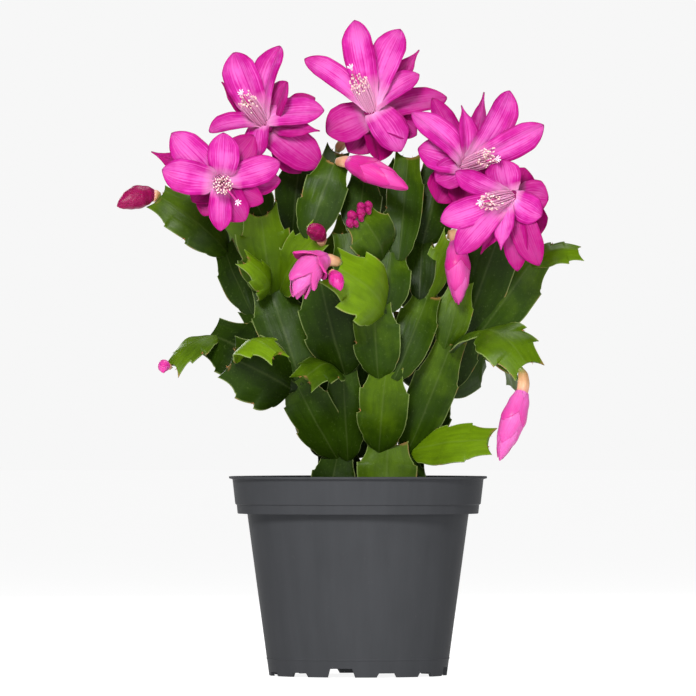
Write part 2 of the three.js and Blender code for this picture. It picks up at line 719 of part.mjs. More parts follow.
function makeBloom(bloom, number) {
  const { curve, throat, look } = tubeOf(bloom);
  const length = curve.getLength();
  const ovary = loft(curve, [[0, 1.2], [0.09, 2.3], [0.18, 2.4], [ovaryShare, 1.9]], 6);
  place(`bloom_${number}_ovary`, solidOf(ovary), "ovary");

  const start = ovaryShare + seat / length;
  const pieces = [loft(curve, [[start, 1.9], [0.55, 2.3], [1, 3.5]], 6)];
  for (const [tier, x, y, z, wide] of bloom.petals) {
    const share = tierShare[tier];
    const axis = curve.getTangentAt(share);
    const root = curve.getPointAt(share);
    const tip = throat.clone().add(new THREE.Vector3(x, y, z));
    const out = tip.clone().sub(root);
    const radial = out.clone().addScaledVector(axis, -out.dot(axis)).normalize();
    const reach = out.length();
    root.addScaledVector(radial, 1.2).addScaledVector(axis, -2);
    const first = root.clone().addScaledVector(axis, reach * 0.34).addScaledVector(radial, reach * 0.1);
    const second = root.clone().lerp(tip, 0.66).addScaledVector(axis, reach * 0.16);
    const spine = new THREE.CubicBezierCurve3(root, first, second, tip);
    const side = radial.clone().cross(axis).normalize();
    const outline = tier === 0 && wide > 12 ? petalOutline : outerPetalOutline;
    pieces.push(blade({ spine, side, wide, thick: petalThick, cup: 0.16, outline }));
  }
  place(`bloom_${number}_petals`, joined(pieces), "petal");

  const mouth = throat.clone().addScaledVector(look, seat);
  const brushTip = throat.clone().add(vec(bloom.brush));
  const styleTip = throat.clone().add(vec(bloom.style));
  const bend = (end, lift) => new THREE.QuadraticBezierCurve3(
    mouth, mouth.clone().lerp(end, 0.5).addScaledVector(look, lift), end,
  );
  const styleCurve = bend(styleTip, 2);
  const styleGirth = [[0, 1.6], [0.18, 1.3], [0.3, 0.5], [0.93, 0.45], [0.96, 1.2], [1, 0.8]];
  const brush = [loft(styleCurve, styleGirth, 4)];
  const filaments = 4;
  const across = look.clone().cross(new THREE.Vector3(0.3, 0.2, 1)).normalize();
  for (let k = 0; k < filaments; k++) {
    const spread = across.clone().applyAxisAngle(look, (2 * Math.PI * (k + 0.5)) / filaments);
    const end = brushTip.clone().addScaledVector(spread, 3.6).addScaledVector(look, 2 * Math.sin(3 * k));
    const foot = mouth.clone().addScaledVector(spread, 0.7).addScaledVector(look, 0.7);
    brush.push(loft(new THREE.LineCurve3(foot, end), [[0, 0.45], [0.84, 0.4], [0.92, 1.05], [1, 0.4]], 3));
  }
  place(`bloom_${number}_stamens`, joined(brush), "stamen");
}

// A bud: a pale tube on the joint's tip, then a spindle wrapped in overlapping petals.
function makeBud(bud) {
  const { foot, along } = standOn(bud.on, 1.8, bud.side, bud.nudge);
  const tip = vec(bud.tip);
  const first = foot.clone().addScaledVector(along, foot.distanceTo(tip) * (bud.rise ?? 0.2));
  const curve = new THREE.CubicBezierCurve3(foot, first, vec(bud.bend), tip);
  const radius = bud.wide / 2;
  const neck = Math.min(radius * 0.62, 2.8);
  const tube = loft(curve, [[0, 1.2], [bud.tube * 0.5, neck * 0.9], [bud.tube, neck]], 6);
  place(`${bud.name}_tube`, solidOf(tube), "ovary");

  // The petals are still wrapped round each other, so the bud's edges wind about it.
  const start = bud.tube + seat / curve.getLength();
  const girth = [[0, 0.5], [0.18, 0.84], [0.4, 1], [0.64, 0.86], [0.84, 0.5], [1, 0.1]];
  const stations = girth.map(([s, r]) => [start + (1 - start) * s, radius * r]);
  const pieces = [loft(curve, stations, bud.wraps ? 8 : 6, { flute: 0.1, wind: 1.4 })];
  const open = bud.open ?? 0.8;
  for (const [end, turn] of bud.wraps ?? []) {
    const reach = curve.getLength() * (1 - start);
    const at = curve.getPointAt(start + (1 - start) * 0.1);
    const axis = curve.getTangentAt(0.6);
    const lean = new THREE.Vector3(0, 0, 1).cross(axis).normalize().applyAxisAngle(axis, turn);
    const peak = curve.getPointAt(start + (1 - start) * end).addScaledVector(lean, radius * open);
    const middle = curve.getPointAt(start + (1 - start) * end * 0.55).addScaledVector(lean, radius * open);
    at.addScaledVector(lean, radius * 0.5);
    const spine = new THREE.CatmullRomCurve3([at, middle, peak]);
    const side = lean.clone().cross(axis);
    const wide = Math.min(bud.wide * 0.8, reach * 0.4);
    pieces.push(blade({ spine, side, wide, thick: 1.2, cup: -0.4, outline: outerPetalOutline }));
  }
  place(bud.name, joined(pieces), "petal");
}

function makeCluster({ name, on, lean, beads, nudge = 0 }) {
  const { foot, along } = standOn(on, 7, 0, nudge);
  const { across } = joints[on];
  const out = vec(lean).normalize();
  const up = out.clone().cross(across).normalize();
  const pieces = beads.map(([side, rise, wide]) => {
    const root = foot.clone().addScaledVector(across, side).addScaledVector(along, 1.4);
    const start = root.clone().addScaledVector(up, rise);
    const end = start.clone().addScaledVector(out, wide * 1.2);
    return loft(new THREE.LineCurve3(start, end), [[0, 1.1], [0.4, wide * 0.52], [1, wide * 0.14]], 6);
  });
  place(name, joined(pieces), "petal");
}

place("pot", makePot(), "pot");
let soil = makeSoil();
for (const [name, rows] of Object.entries(stems)) {
  place(name, joined(rows.map((row) => makeJoint(row))), "green");
  soil = soil.subtract(solidOf(makeJoint(rows[0], 0.8)));
}
place("soil", soil, "soil");
blooms.forEach((bloom, k) => makeBloom(bloom, k + 1));
buds.forEach(makeBud);
clusters.forEach(makeCluster);

// The origin is the middle of the whole plant's footprint, at the foot.
const bounds = new THREE.Box3().setFromObject(group);
const middle = bounds.getCenter(new THREE.Vector3());
group.position.set(-middle.x, -middle.y, 0);
export default group;
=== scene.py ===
import bpy
import math
import random
from mathutils import Matrix, Vector, noise


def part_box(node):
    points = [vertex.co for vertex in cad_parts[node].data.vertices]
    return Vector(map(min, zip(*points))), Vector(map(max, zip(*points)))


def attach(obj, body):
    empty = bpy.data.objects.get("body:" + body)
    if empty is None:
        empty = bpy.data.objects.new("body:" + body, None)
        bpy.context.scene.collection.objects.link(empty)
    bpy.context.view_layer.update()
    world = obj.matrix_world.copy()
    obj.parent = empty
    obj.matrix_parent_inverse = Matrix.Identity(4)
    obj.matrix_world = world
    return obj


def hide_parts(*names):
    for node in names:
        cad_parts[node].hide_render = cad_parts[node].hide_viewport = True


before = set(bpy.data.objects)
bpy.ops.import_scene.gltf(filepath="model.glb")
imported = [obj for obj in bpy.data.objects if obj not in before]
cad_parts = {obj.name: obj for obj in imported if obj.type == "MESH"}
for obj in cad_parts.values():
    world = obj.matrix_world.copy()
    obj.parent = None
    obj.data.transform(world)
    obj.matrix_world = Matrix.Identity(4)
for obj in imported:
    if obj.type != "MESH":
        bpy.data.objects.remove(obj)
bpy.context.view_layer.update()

potLow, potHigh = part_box("pot")
potAxis = Vector(((potLow.x + potHigh.x) / 2, (potLow.y + potHigh.y) / 2, 0))
dice = random.Random(7)


def metres(point):
    return Vector(point) / 1000 + potAxis


def titled(name):
    return name.replace("_", " ").title().replace(" ", "")


def clearSelection():
    for obj in bpy.context.selected_objects:
        obj.select_set(False)


def useOnly(obj):
    clearSelection()
    obj.select_set(True)
    bpy.context.view_layer.objects.active = obj


def finishModifiers(obj):
    useOnly(obj)
    for modifier in list(obj.modifiers):
        bpy.ops.object.modifier_apply(modifier=modifier.name)


def joinPieces(pieces, name):
    useOnly(pieces[0])
    for piece in pieces[1:]:
        piece.select_set(True)
    if len(pieces) > 1:
        bpy.ops.object.join()
    whole = bpy.context.view_layer.objects.active
    whole.name = name
    return whole


def copyOf(template):
    fresh = template.copy()
    fresh.data = template.data.copy()
    bpy.context.collection.objects.link(fresh)
    return fresh


def discard(*objects):
    for obj in objects:
        bpy.data.objects.remove(obj, do_unlink=True)


def smooth(obj, degrees=50):
    useOnly(obj)
    bpy.ops.object.shade_smooth_by_angle(angle=math.radians(degrees))


# Curves, read by share of their run.
def quadratic(a, b, c):
    return lambda t: a * (1 - t) ** 2 + b * (2 * t * (1 - t)) + c * t * t


def cubic(a, b, c, d):
    return lambda t: a * (1 - t) ** 3 + b * (3 * t * (1 - t) ** 2) + c * (3 * t * t * (1 - t)) + d * t ** 3


def heading(curve, t, step=0.004):
    low = max(0, t - step)
    high = min(1, t + step)
    return (curve(high) - curve(low)).normalized()


def evenly(curve, steps=60):
    # the same curve, read by share of its length, and the length
    marks = [0]
    points = [curve(k / steps) for k in range(steps + 1)]
    for a, b in zip(points, points[1:]):
        marks.append(marks[-1] + (b - a).length)
    total = marks[-1]

    def read(t):
        goal = min(max(t, 0), 1) * total
        for k in range(steps):
            if marks[k + 1] >= goal:
                part = (goal - marks[k]) / max(marks[k + 1] - marks[k], 1e-9)
                return curve((k + part) / steps)
        return curve(1)

    return read, total


def between(table, t):
    # smooth reading of rows of (share, value)
    for (u0, v0), (u1, v1) in zip(table, table[1:]):
        if t <= u1:
            part = (t - u0) / (u1 - u0)
            part = part * part * (3 - 2 * part)
            return v0 + (v1 - v0) * part
    return table[-1][1]


def reading(table, scale=1):
    return lambda t: scale * between(table, t)


def taper(thick, fall):
    return lambda t: thick - fall * t


def levelAcross(along):
    # the direction that a rod or a bud counts its turns from
    return Vector((0, 0, 1)) if abs(along.z) < 0.8 else Vector((1, 0, 0))


# Materials. Colours are linear. Most helpers add nodes to a tree and return the socket to go on from.
def startMaterial(name, roughness=0.5):
    made = bpy.data.materials.new(name)
    made.use_nodes = True
    shader = made.node_tree.nodes["Principled BSDF"]
    shader.inputs["Roughness"].default_value = roughness
    return made, made.node_tree, shader


def plug(tree, value, socket):
    # a number or a colour is set on the socket, and another socket is linked to it
    if isinstance(value, (int, float)):
        socket.default_value = value
    elif isinstance(value, tuple):
        socket.default_value = (*value, 1)
    else:
        tree.links.new(value, socket)


def placeOf(tree):
    return tree.nodes.new("ShaderNodeTexCoord").outputs["Object"]


def uvOf(tree):
    uv = tree.nodes.new("ShaderNodeUVMap")
    uv.uv_map = "UVMap"
    return uv.outputs["UV"]


def attributeOf(tree, name):
    read = tree.nodes.new("ShaderNodeAttribute")
    read.attribute_name = name
    return read.outputs["Fac"]


def addNoise(tree, scale, detail=4, roughness=0.55, vector=None):
    texture = tree.nodes.new("ShaderNodeTexNoise")
    texture.inputs["Scale"].default_value = scale
    texture.inputs["Detail"].default_value = detail
    texture.inputs["Roughness"].default_value = roughness
    tree.links.new(placeOf(tree) if vector is None else vector, texture.inputs["Vector"])
    return texture.outputs["Fac"]


def drawnNoise(tree, vector, scale, detail):
    # noise that is drawn out along the piece
    stretch = tree.nodes.new("ShaderNodeMapping")
    stretch.inputs["Scale"].default_value = scale
    tree.links.new(vector, stretch.inputs["Vector"])
    return addNoise(tree, 1.0, detail, 0.6, stretch.outputs["Vector"])


def addRamp(tree, source, stops):
    ramp = tree.nodes.new("ShaderNodeValToRGB")
    marks = ramp.color_ramp.elements
    for mark, (position, colour) in ((marks[0], stops[0]), (marks[1], stops[-1])):
        mark.position = position
        mark.color = (*colour, 1)
    for position, colour in stops[1:-1]:
        marks.new(position).color = (*colour, 1)
    tree.links.new(source, ramp.inputs["Fac"])
    return ramp.outputs["Color"]


def addSpots(tree, scale, detail, low, high, roughness=0.55):
    # noise cut down to separate spots
    return addRamp(tree, addNoise(tree, scale, detail, roughness), [(low, (0, 0, 0)), (high, (1, 1, 1))])


def addMix(tree, factor, first, second, blend="MIX"):
    mix = tree.nodes.new("ShaderNodeMix")
    mix.data_type = "RGBA"
    mix.blend_type = blend
    sockets = {socket.name: socket for socket in mix.inputs if socket.enabled}
    for name, value in (("Factor", factor), ("A", first), ("B", second)):
        plug(tree, value, sockets[name])
    return [socket for socket in mix.outputs if socket.enabled][0]


def addMath(tree, operation, *values, clamp=False):
    step = tree.nodes.new("ShaderNodeMath")
    step.operation = operation
    step.use_clamp = clamp
    for value, socket in zip(values, step.inputs):
        plug(tree, value, socket)
    return step.outputs[0]


def swayed(tree, value, source, middle, weight):
    # the value, moved by how far the source is from its middle
    return addMath(tree, "MULTIPLY_ADD", addMath(tree, "SUBTRACT", source, middle), weight, value)


def past(tree, source, start, slope):
    # 0 up to the start, then rising to 1
    over = addMath(tree, "SUBTRACT", source, start, clamp=True)
    return addMath(tree, "MULTIPLY", over, slope, clamp=True)


def short(tree, source, start, slope):
    # 1 or nearly so at nought, and falling from there to 0
    return addMath(tree, "SUBTRACT", start, addMath(tree, "MULTIPLY", source, slope), clamp=True)


def tinted(tree, base, colour, mask, weight):
    return addMix(tree, addMath(tree, "MULTIPLY", mask, weight), base, colour)


def addBump(tree, shader, height, strength, distance):
    bump = tree.nodes.new("ShaderNodeBump")
    bump.inputs["Strength"].default_value = strength
    bump.inputs["Distance"].default_value = distance
    tree.links.new(height, bump.inputs["Height"])
    tree.links.new(bump.outputs["Normal"], shader.inputs["Normal"])


def varyGloss(tree, shader, source, low, high):
    gloss = tree.nodes.new("ShaderNodeMapRange")
    gloss.inputs["To Min"].default_value = low
    gloss.inputs["To Max"].default_value = high
    tree.links.new(source, gloss.inputs["Value"])
    tree.links.new(gloss.outputs["Result"], shader.inputs["Roughness"])


def glowThrough(shader, weight, radius):
    shader.inputs["Subsurface Weight"].default_value = weight
    shader.inputs["Subsurface Radius"].default_value = radius


def bladeShares(tree):
    # how far along the blade, and how near its margin, 0 at the rib and 1 at the edge
    split = tree.nodes.new("ShaderNodeSeparateXYZ")
    tree.links.new(uvOf(tree), split.inputs[0])
    side = addMath(tree, "SUBTRACT", split.outputs["X"], 0.5)
    return split.outputs["Y"], addMath(tree, "MULTIPLY", addMath(tree, "ABSOLUTE", side), 2.0)


# In a look, a grain is the scale of a noise, and a weight is how strongly a colour covers the one below.
jointLook = {
    "shade": (0.0045, 0.0115, 0.0005), "middle": (0.019, 0.044, 0.001), "bright": (0.108, 0.195, 0.003),
    "edge": (0.28, 0.35, 0.12), "bark": (0.25, 0.12, 0.04), "speck": (0.3, 0.42, 0.12),
    "cloudGrain": 60, "cloudWeight": 0.55, "tipWeight": 0.22, "veinStretch": (9, 2.6, 1), "veinWeight": 0.6,
    "ribWeight": 0.07, "paleRimAndHighlightWeight": 0.5, "corkGrain": 170, "corkWeight": 0.8, "speckGrain": 900,
    "speckWeight": 0.06, "woolTone": 1.4, "glossGrain": 140, "gloss": (0.3, 0.46), "specular": 0.09,
}


def jointMaterial():
    look = jointLook
    made, tree, shader = startMaterial("jointGreen", 0.4)
    along, edge = bladeShares(tree)
    tone = attributeOf(tree, "tone")
    drift = swayed(tree, tone, addNoise(tree, look["cloudGrain"], 3), 0.5, look["cloudWeight"])
    drift = swayed(tree, drift, along, 0.55, look["tipWeight"])
    base = addRamp(tree, drift, [(0.05, look["shade"]), (0.5, look["middle"]), (1, look["bright"])])
    # mottling drawn out along the joint, and a faint paler rib
    drawn = drawnNoise(tree, uvOf(tree), look["veinStretch"], 4)
    veins = addRamp(tree, drawn, [(0.35, (0.7, 0.7, 0.7)), (0.7, (1.15, 1.12, 1.0))])
    base = addMix(tree, look["veinWeight"], base, veins, "MULTIPLY")
    base = tinted(tree, base, look["edge"], short(tree, edge, 1.0, 16.0), look["ribWeight"])
    # the thin edge is painted paler, partly its own yellowing and partly a painted highlight where it catches
    # the light, with corky spots, and the tip has a corky scar
    rim = past(tree, edge, 0.95, 24.0)
    base = tinted(tree, base, look["edge"], rim, look["paleRimAndHighlightWeight"])
    ends = addMath(tree, "MAXIMUM", rim, past(tree, along, 0.975, 40.0))
    cork = addMath(tree, "MULTIPLY", ends, addSpots(tree, look["corkGrain"], 2, 0.54, 0.66))
    base = tinted(tree, base, look["bark"], cork, look["corkWeight"])
    specks = addSpots(tree, look["speckGrain"], 2, 0.62, 0.72)
    base = tinted(tree, base, look["speck"], specks, look["speckWeight"])
    # the woolly spots in the notches carry a tone above any joint's
    base = addMix(tree, addMath(tree, "GREATER_THAN", tone, look["woolTone"]), base, look["bark"])
    tree.links.new(base, shader.inputs["Base Color"])
    varyGloss(tree, shader, addNoise(tree, look["glossGrain"], 3), *look["gloss"])
    shader.inputs["Specular IOR Level"].default_value = look["specular"]
    pores = addMath(tree, "MULTIPLY", addNoise(tree, 350, 3), 0.4)
    addBump(tree, shader, addMath(tree, "ADD", pores, drawn), 0.35, 0.0006)
    return made


petalLook = {
    "throat": (0.8, 0.47, 0.68), "pale": (0.6, 0.105, 0.42), "middle": (0.46, 0.014, 0.255),
    "edge": (0.26, 0.001, 0.11), "outerAndShade": (0.27, 0.001, 0.1), "hemAndShade": (0.13, 0.001, 0.05),
    "point": (0.1, 0.002, 0.03), "streakStretch": (22, 1.2, 1), "streakWeight": 1.5, "cloudGrain": 90,
    "cloudWeight": 1.2, "tipWeight": 0.5, "outerAndShadeWeight": 0.85, "hemWeight": 0.7, "throatWeight": 0.9,
    "specular": 0.06,
}


def petalMaterial():
    look = petalLook
    made, tree, shader = startMaterial("petalMagenta", 0.42)
    along, edge = bladeShares(tree)
    tone = attributeOf(tree, "tone")
    streak = drawnNoise(tree, uvOf(tree), look["streakStretch"], 3)
    cloud = addNoise(tree, look["cloudGrain"], 3)
    # paler down the middle, deep at the edge and the tip, and nearly white in the throat
    depth = addMath(tree, "MULTIPLY_ADD", addMath(tree, "POWER", edge, 3.0), 0.5, 0.2)
    depth = swayed(tree, depth, streak, 0.5, look["streakWeight"])
    depth = swayed(tree, depth, cloud, 0.5, look["cloudWeight"])
    base = addRamp(tree, depth, [(0.05, look["pale"]), (0.42, look["middle"]), (0.85, look["edge"])])
    base = tinted(tree, base, look["edge"], addMath(tree, "POWER", along, 5.0), look["tipWeight"])
    # the later tiers, set lower on the tube and mostly further back, are painted deeper by their tone: partly
    # their own colour and partly painted shade
    base = tinted(tree, base, look["outerAndShade"], tone, look["outerAndShadeWeight"])
    # a thin darker line round every margin: partly the petal's own deeper hem and partly painted shade where
    # petals overlap
    base = tinted(tree, base, look["hemAndShade"], past(tree, edge, 0.94, 14.0), look["hemWeight"])
    base = tinted(tree, base, look["point"], past(tree, along, 0.965, 30.0), look["hemWeight"])
    throat = addMath(tree, "MULTIPLY", short(tree, along, 1.15, 2.9), short(tree, tone, 1.0, 0.7))
    base = tinted(tree, base, look["throat"], throat, look["throatWeight"])
    tree.links.new(base, shader.inputs["Base Color"])
    shader.inputs["Specular IOR Level"].default_value = look["specular"]
    glowThrough(shader, 0.3, (0.005, 0.0012, 0.003))
    grain = addMath(tree, "ADD", streak, addMath(tree, "MULTIPLY", cloud, 0.4))
    addBump(tree, shader, grain, 0.35, 0.0004)
    return made


budLook = {
    "deep": (0.23, 0.003, 0.06), "rich": (0.5, 0.017, 0.22), "pale": (0.62, 0.15, 0.44),
    "streakStretch": (26, 1.2, 1), "streakWeight": 0.45, "tipWeight": 0.3, "hemWeight": 0.55, "specular": 0.2,
}


def budMaterial():
    look = budLook
    made, tree, shader = startMaterial("budPink", 0.36)
    along, edge = bladeShares(tree)
    streak = drawnNoise(tree, uvOf(tree), look["streakStretch"], 3)
    depth = swayed(tree, attributeOf(tree, "tone"), streak, 0.5, look["streakWeight"])
    depth = swayed(tree, depth, along, 0.45, look["tipWeight"])
    base = addRamp(tree, depth, [(0, look["pale"]), (0.5, look["rich"]), (1, look["deep"])])
    base = tinted(tree, base, look["deep"], past(tree, edge, 0.86, 7.0), look["hemWeight"])
    tree.links.new(base, shader.inputs["Base Color"])
    shader.inputs["Specular IOR Level"].default_value = look["specular"]
    glowThrough(shader, 0.2, (0.004, 0.001, 0.002))
    addBump(tree, shader, streak, 0.3, 0.0003)
    return made


ovaryLook = {
    "foot": (0.12, 0.16, 0.03), "low": (0.4, 0.21, 0.08), "high": (0.6, 0.34, 0.19),
    "mouth": (0.63, 0.24, 0.19),
}


def ovaryMaterial():
    look = ovaryLook
    made, tree, shader = startMaterial("ovaryOrange", 0.4)
    along = bladeShares(tree)[0]
    cloud = addNoise(tree, 260, 3)
    base = addRamp(tree, swayed(tree, along, cloud, 0.5, 0.5), [
        (0, look["foot"]), (0.3, look["low"]), (0.75, look["high"]), (1, look["mouth"]),
    ])
    tree.links.new(base, shader.inputs["Base Color"])
    glowThrough(shader, 0.15, (0.003, 0.0015, 0.001))
    addBump(tree, shader, cloud, 0.2, 0.0003)
    return made


# The tone that each part of a bundle of stamens carries, and the colours there.
stamenTones = {"filament": 0.1, "anther": 0.5, "style": 0.82, "stigma": 1.0}
stamenStops = [
    (0, (0.7, 0.29, 0.5)), (0.3, (0.75, 0.42, 0.58)), (0.42, (0.78, 0.5, 0.48)), (0.6, (0.84, 0.66, 0.62)),
    (0.75, (0.6, 0.025, 0.28)), (0.9, (0.58, 0.025, 0.27)), (1, (0.8, 0.66, 0.76)),
]


def stamenMaterial():
    made, tree, shader = startMaterial("stamenCream", 0.45)
    tone = attributeOf(tree, "tone")
    cloud = addNoise(tree, 500, 2)
    base = addRamp(tree, swayed(tree, tone, cloud, 0.5, 0.12), stamenStops)
    tree.links.new(base, shader.inputs["Base Color"])
    glowThrough(shader, 0.3, (0.002, 0.001, 0.0015))
    addBump(tree, shader, cloud, 0.2, 0.0001)
    return made


potLook = {
    "dark": (0.037, 0.0385, 0.0415), "light": (0.046, 0.0475, 0.0515), "dust": (0.12, 0.115, 0.11),
    "cloudGrain": 22, "drawStretch": (160, 160, 4), "dustGrain": 420, "dustWeight": 0.12,
    "gloss": (0.38, 0.48), "specular": 0.01,
}


def potMaterial():
    look = potLook
    made, tree, shader = startMaterial("potPlastic", 0.42)
    cloud = addNoise(tree, look["cloudGrain"], 3)
    grain = addNoise(tree, 1400, 3)
    drawn = drawnNoise(tree, placeOf(tree), look["drawStretch"], 4)
    mottled = addMath(tree, "MULTIPLY_ADD", drawn, 0.5, addMath(tree, "MULTIPLY", cloud, 0.5))
    base = addRamp(tree, mottled, [(0.3, look["dark"]), (0.7, look["light"])])
    dust = addSpots(tree, look["dustGrain"], 4, 0.63, 0.78, 0.7)
    base = tinted(tree, base, look["dust"], dust, look["dustWeight"])
    tree.links.new(base, shader.inputs["Base Color"])
    varyGloss(tree, shader, drawn, *look["gloss"])
    shader.inputs["Specular IOR Level"].default_value = look["specular"]
    addBump(tree, shader, addMath(tree, "ADD", grain, drawn), 0.12, 0.0002)
    return made


soilLook = {
    "wet": (0.012, 0.008, 0.005), "damp": (0.04, 0.026, 0.016), "dry": (0.1, 0.066, 0.04),
    "fibre": (0.22, 0.15, 0.09), "clodGrain": 190, "fibreGrain": 700, "fibreWeight": 0.5,
}


def soilMaterial():
    look = soilLook
    made, tree, shader = startMaterial("pottingSoil", 0.95)
    clod = addNoise(tree, look["clodGrain"], 6, 0.65)
    base = addRamp(tree, clod, [(0.3, look["wet"]), (0.55, look["damp"]), (0.75, look["dry"])])
    fibres = addSpots(tree, look["fibreGrain"], 3, 0.66, 0.76)
    base = tinted(tree, base, look["fibre"], fibres, look["fibreWeight"])
    tree.links.new(base, shader.inputs["Base Color"])
    addBump(tree, shader, clod, 0.8, 0.0015)
    return made


finishes = {
    "joint": jointMaterial(), "petal": petalMaterial(), "bud": budMaterial(), "ovary": ovaryMaterial(),
    "stamen": stamenMaterial(), "pot": potMaterial(), "soil": soilMaterial(),
}


def handOver(obj, finish, *nodes):
    obj.data.materials.clear()
    obj.data.materials.append(finishes[finish])
    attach(obj, "root")
    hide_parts(*nodes)


# Flat sheets and rods that every joint, petal and filament is bent from.
def makeSheet(columns, rows):
    clearSelection()
    bpy.ops.mesh.primitive_grid_add(x_subdivisions=columns, y_subdivisions=rows, size=2, location=(0, 0, 0))
    sheet = bpy.context.object
    sheet.data.uv_layers[0].name = "UVMap"
    sheet.data.attributes.new("tone", "FLOAT", "POINT")
    return sheet


def makeRod(sides, rows):
    # a closed rod, one unit long and one unit in radius
    clearSelection()
    bpy.ops.mesh.primitive_circle_add(vertices=sides, radius=1, fill_type="NGON", location=(0, 0, 0))
    rod = bpy.context.object
    bpy.ops.object.mode_set(mode="EDIT")
    bpy.ops.mesh.select_all(action="SELECT")
    for _ in range(rows):
        bpy.ops.mesh.extrude_region_move(TRANSFORM_OT_translate={"value": (0, 0, 1 / rows)})
    bpy.ops.mesh.select_all(action="SELECT")
    bpy.ops.mesh.normals_make_consistent(inside=False)
    bpy.ops.object.mode_set(mode="OBJECT")
    rod.data.uv_layers.new(name="UVMap")
    layer = rod.data.uv_layers["UVMap"].data
    for loop in rod.data.loops:
        spot = rod.data.vertices[loop.vertex_index].co
        layer[loop.index].uv = (0.5 + 0.5 * math.atan2(spot.y, spot.x) / math.pi, spot.z)
    rod.data.attributes.new("tone", "FLOAT", "POINT")
    return rod


def setTone(obj, value):
    tones = [value] * len(obj.data.vertices)
    obj.data.attributes["tone"].data.foreach_set("value", tones)


def bendSheet(template, rows, shape):
    # for a row and a share of the way to a margin, shape gives the place and the share of the full thickness
    obj = copyOf(template)
    thickness = obj.vertex_groups.new(name="thick")
    for vertex in obj.data.vertices:
        row = round((vertex.co.y + 1) / 2 * (rows - 1))
        place, share = shape(row, vertex.co.x)
        vertex.co = place
        thickness.add([vertex.index], share, "REPLACE")
    return obj


def bendRod(template, curve, radius, tone=0.0, ribs=0, depth=0.0, wind=0.0, fromShare=0.0, toShare=1.0):
    obj = copyOf(template)
    up = levelAcross(heading(curve, fromShare))
    frames = {}
    for vertex in obj.data.vertices:
        share = vertex.co.z
        key = round(share, 5)
        if key not in frames:
            t = fromShare + (toShare - fromShare) * share
            along = heading(curve, t)
            across = (up - along * up.dot(along)).normalized()
            frames[key] = (curve(t), across, along.cross(across), radius(share))
        centre, across, lift, girth = frames[key]
        turn = math.atan2(vertex.co.y, vertex.co.x) + wind * share
        girth *= math.hypot(vertex.co.x, vertex.co.y) * (1 + depth * math.cos(ribs * turn))
        vertex.co = metres(centre + across * (girth * math.cos(turn)) + lift * (girth * math.sin(turn)))
    setTone(obj, tone)
    return obj


def thicken(obj, thick, thin, level=1):
    # a closed blade, full thickness at the rib and thin at the margin, given in millimetres
    solid = obj.modifiers.new("Solidify", "SOLIDIFY")
    solid.thickness = thick / 1000
    solid.offset = 0
    solid.vertex_group = "thick"
    solid.thickness_vertex_group = thin / thick
    if level:
        subdivision = obj.modifiers.new("Subdivision", "SUBSURF")
        subdivision.levels = level
        subdivision.render_levels = level
    finishModifiers(obj)
    obj.vertex_groups.clear()


# The joints. Each outline row is the share of the length, the left and right half widths as shares of the
# widest, and how far each margin leads the spine there.
outlines = {
    "old": [
        (0, 0.2, 0.2, 0, 0), (0.18, 0.7, 0.72, 0, 0), (0.42, 1, 0.95, 0.03, 0), (0.49, 0.88, 0.98, 0, 0.03),
        (0.74, 0.97, 0.97, 0.03, 0.02), (0.8, 0.84, 0.84, 0, 0), (1, 0.64, 0.64, 0.08, 0.07),
    ],
    "young": [
        (0, 0.2, 0.2, 0, 0), (0.2, 0.72, 0.68, 0, 0), (0.45, 1, 0.97, 0.06, 0.02), (0.53, 0.82, 0.95, 0, 0.04),
        (0.75, 0.96, 0.93, 0.08, 0.06), (0.81, 0.74, 0.74, 0, 0), (1, 0.6, 0.62, 0.16, 0.14),
    ],
    "plain": [
        (0, 0.2, 0.2, 0, 0), (0.16, 0.64, 0.64, 0, 0), (0.42, 0.98, 0.98, 0, 0), (0.66, 1, 1, 0.03, 0.02),
        (0.74, 0.86, 0.86, 0, 0), (1, 0.64, 0.64, 0.08, 0.07),
    ],
}


def toothedRows(rows, steps):
    # the margin swells in a round arc up to each tooth and drops away behind it
    def ease(a, b, t):
        if b >= a:
            return a + (b - a) * math.sin(t * math.pi / 2) ** 0.9
        return a + (b - a) * (1 - (1 - t) ** 2.2)

    def lead(a, b, t):
        return a + (b - a) * t ** 2.4 if b > a else a + (b - a) * (1 - (1 - t) ** 2.6)

    made = []
    for a, b in zip(rows, rows[1:]):
        for k in range(steps):
            t = k / steps
            widths = [ease(a[column], b[column], t) for column in (1, 2)]
            leads = [lead(a[column], b[column], t) for column in (3, 4)]
            made.append((a[0] + (b[0] - a[0]) * t, *widths, *leads))
    made.append(rows[-1])
    return made


def notchesOf(rows):
    # rows where a margin turns outward again behind a tooth
    found = []
    for side, column in ((-0.985, 1), (0.985, 2)):
        for k in range(4, len(rows) - 2):
            before, here, after = (rows[row][column] for row in (k - 1, k, k + 1))
            if here < before and here <= after and here > 0.7:
                found.append((k, side))
    return found


jointShape = {
    "columns": 16, "steps": 6, "thick": 2.9, "thin": 0.5, "sink": 3.0, "ripple": 0.35, "youngRipple": 2.2,
    "uneven": 0.7, "toneSpread": 0.04,
}

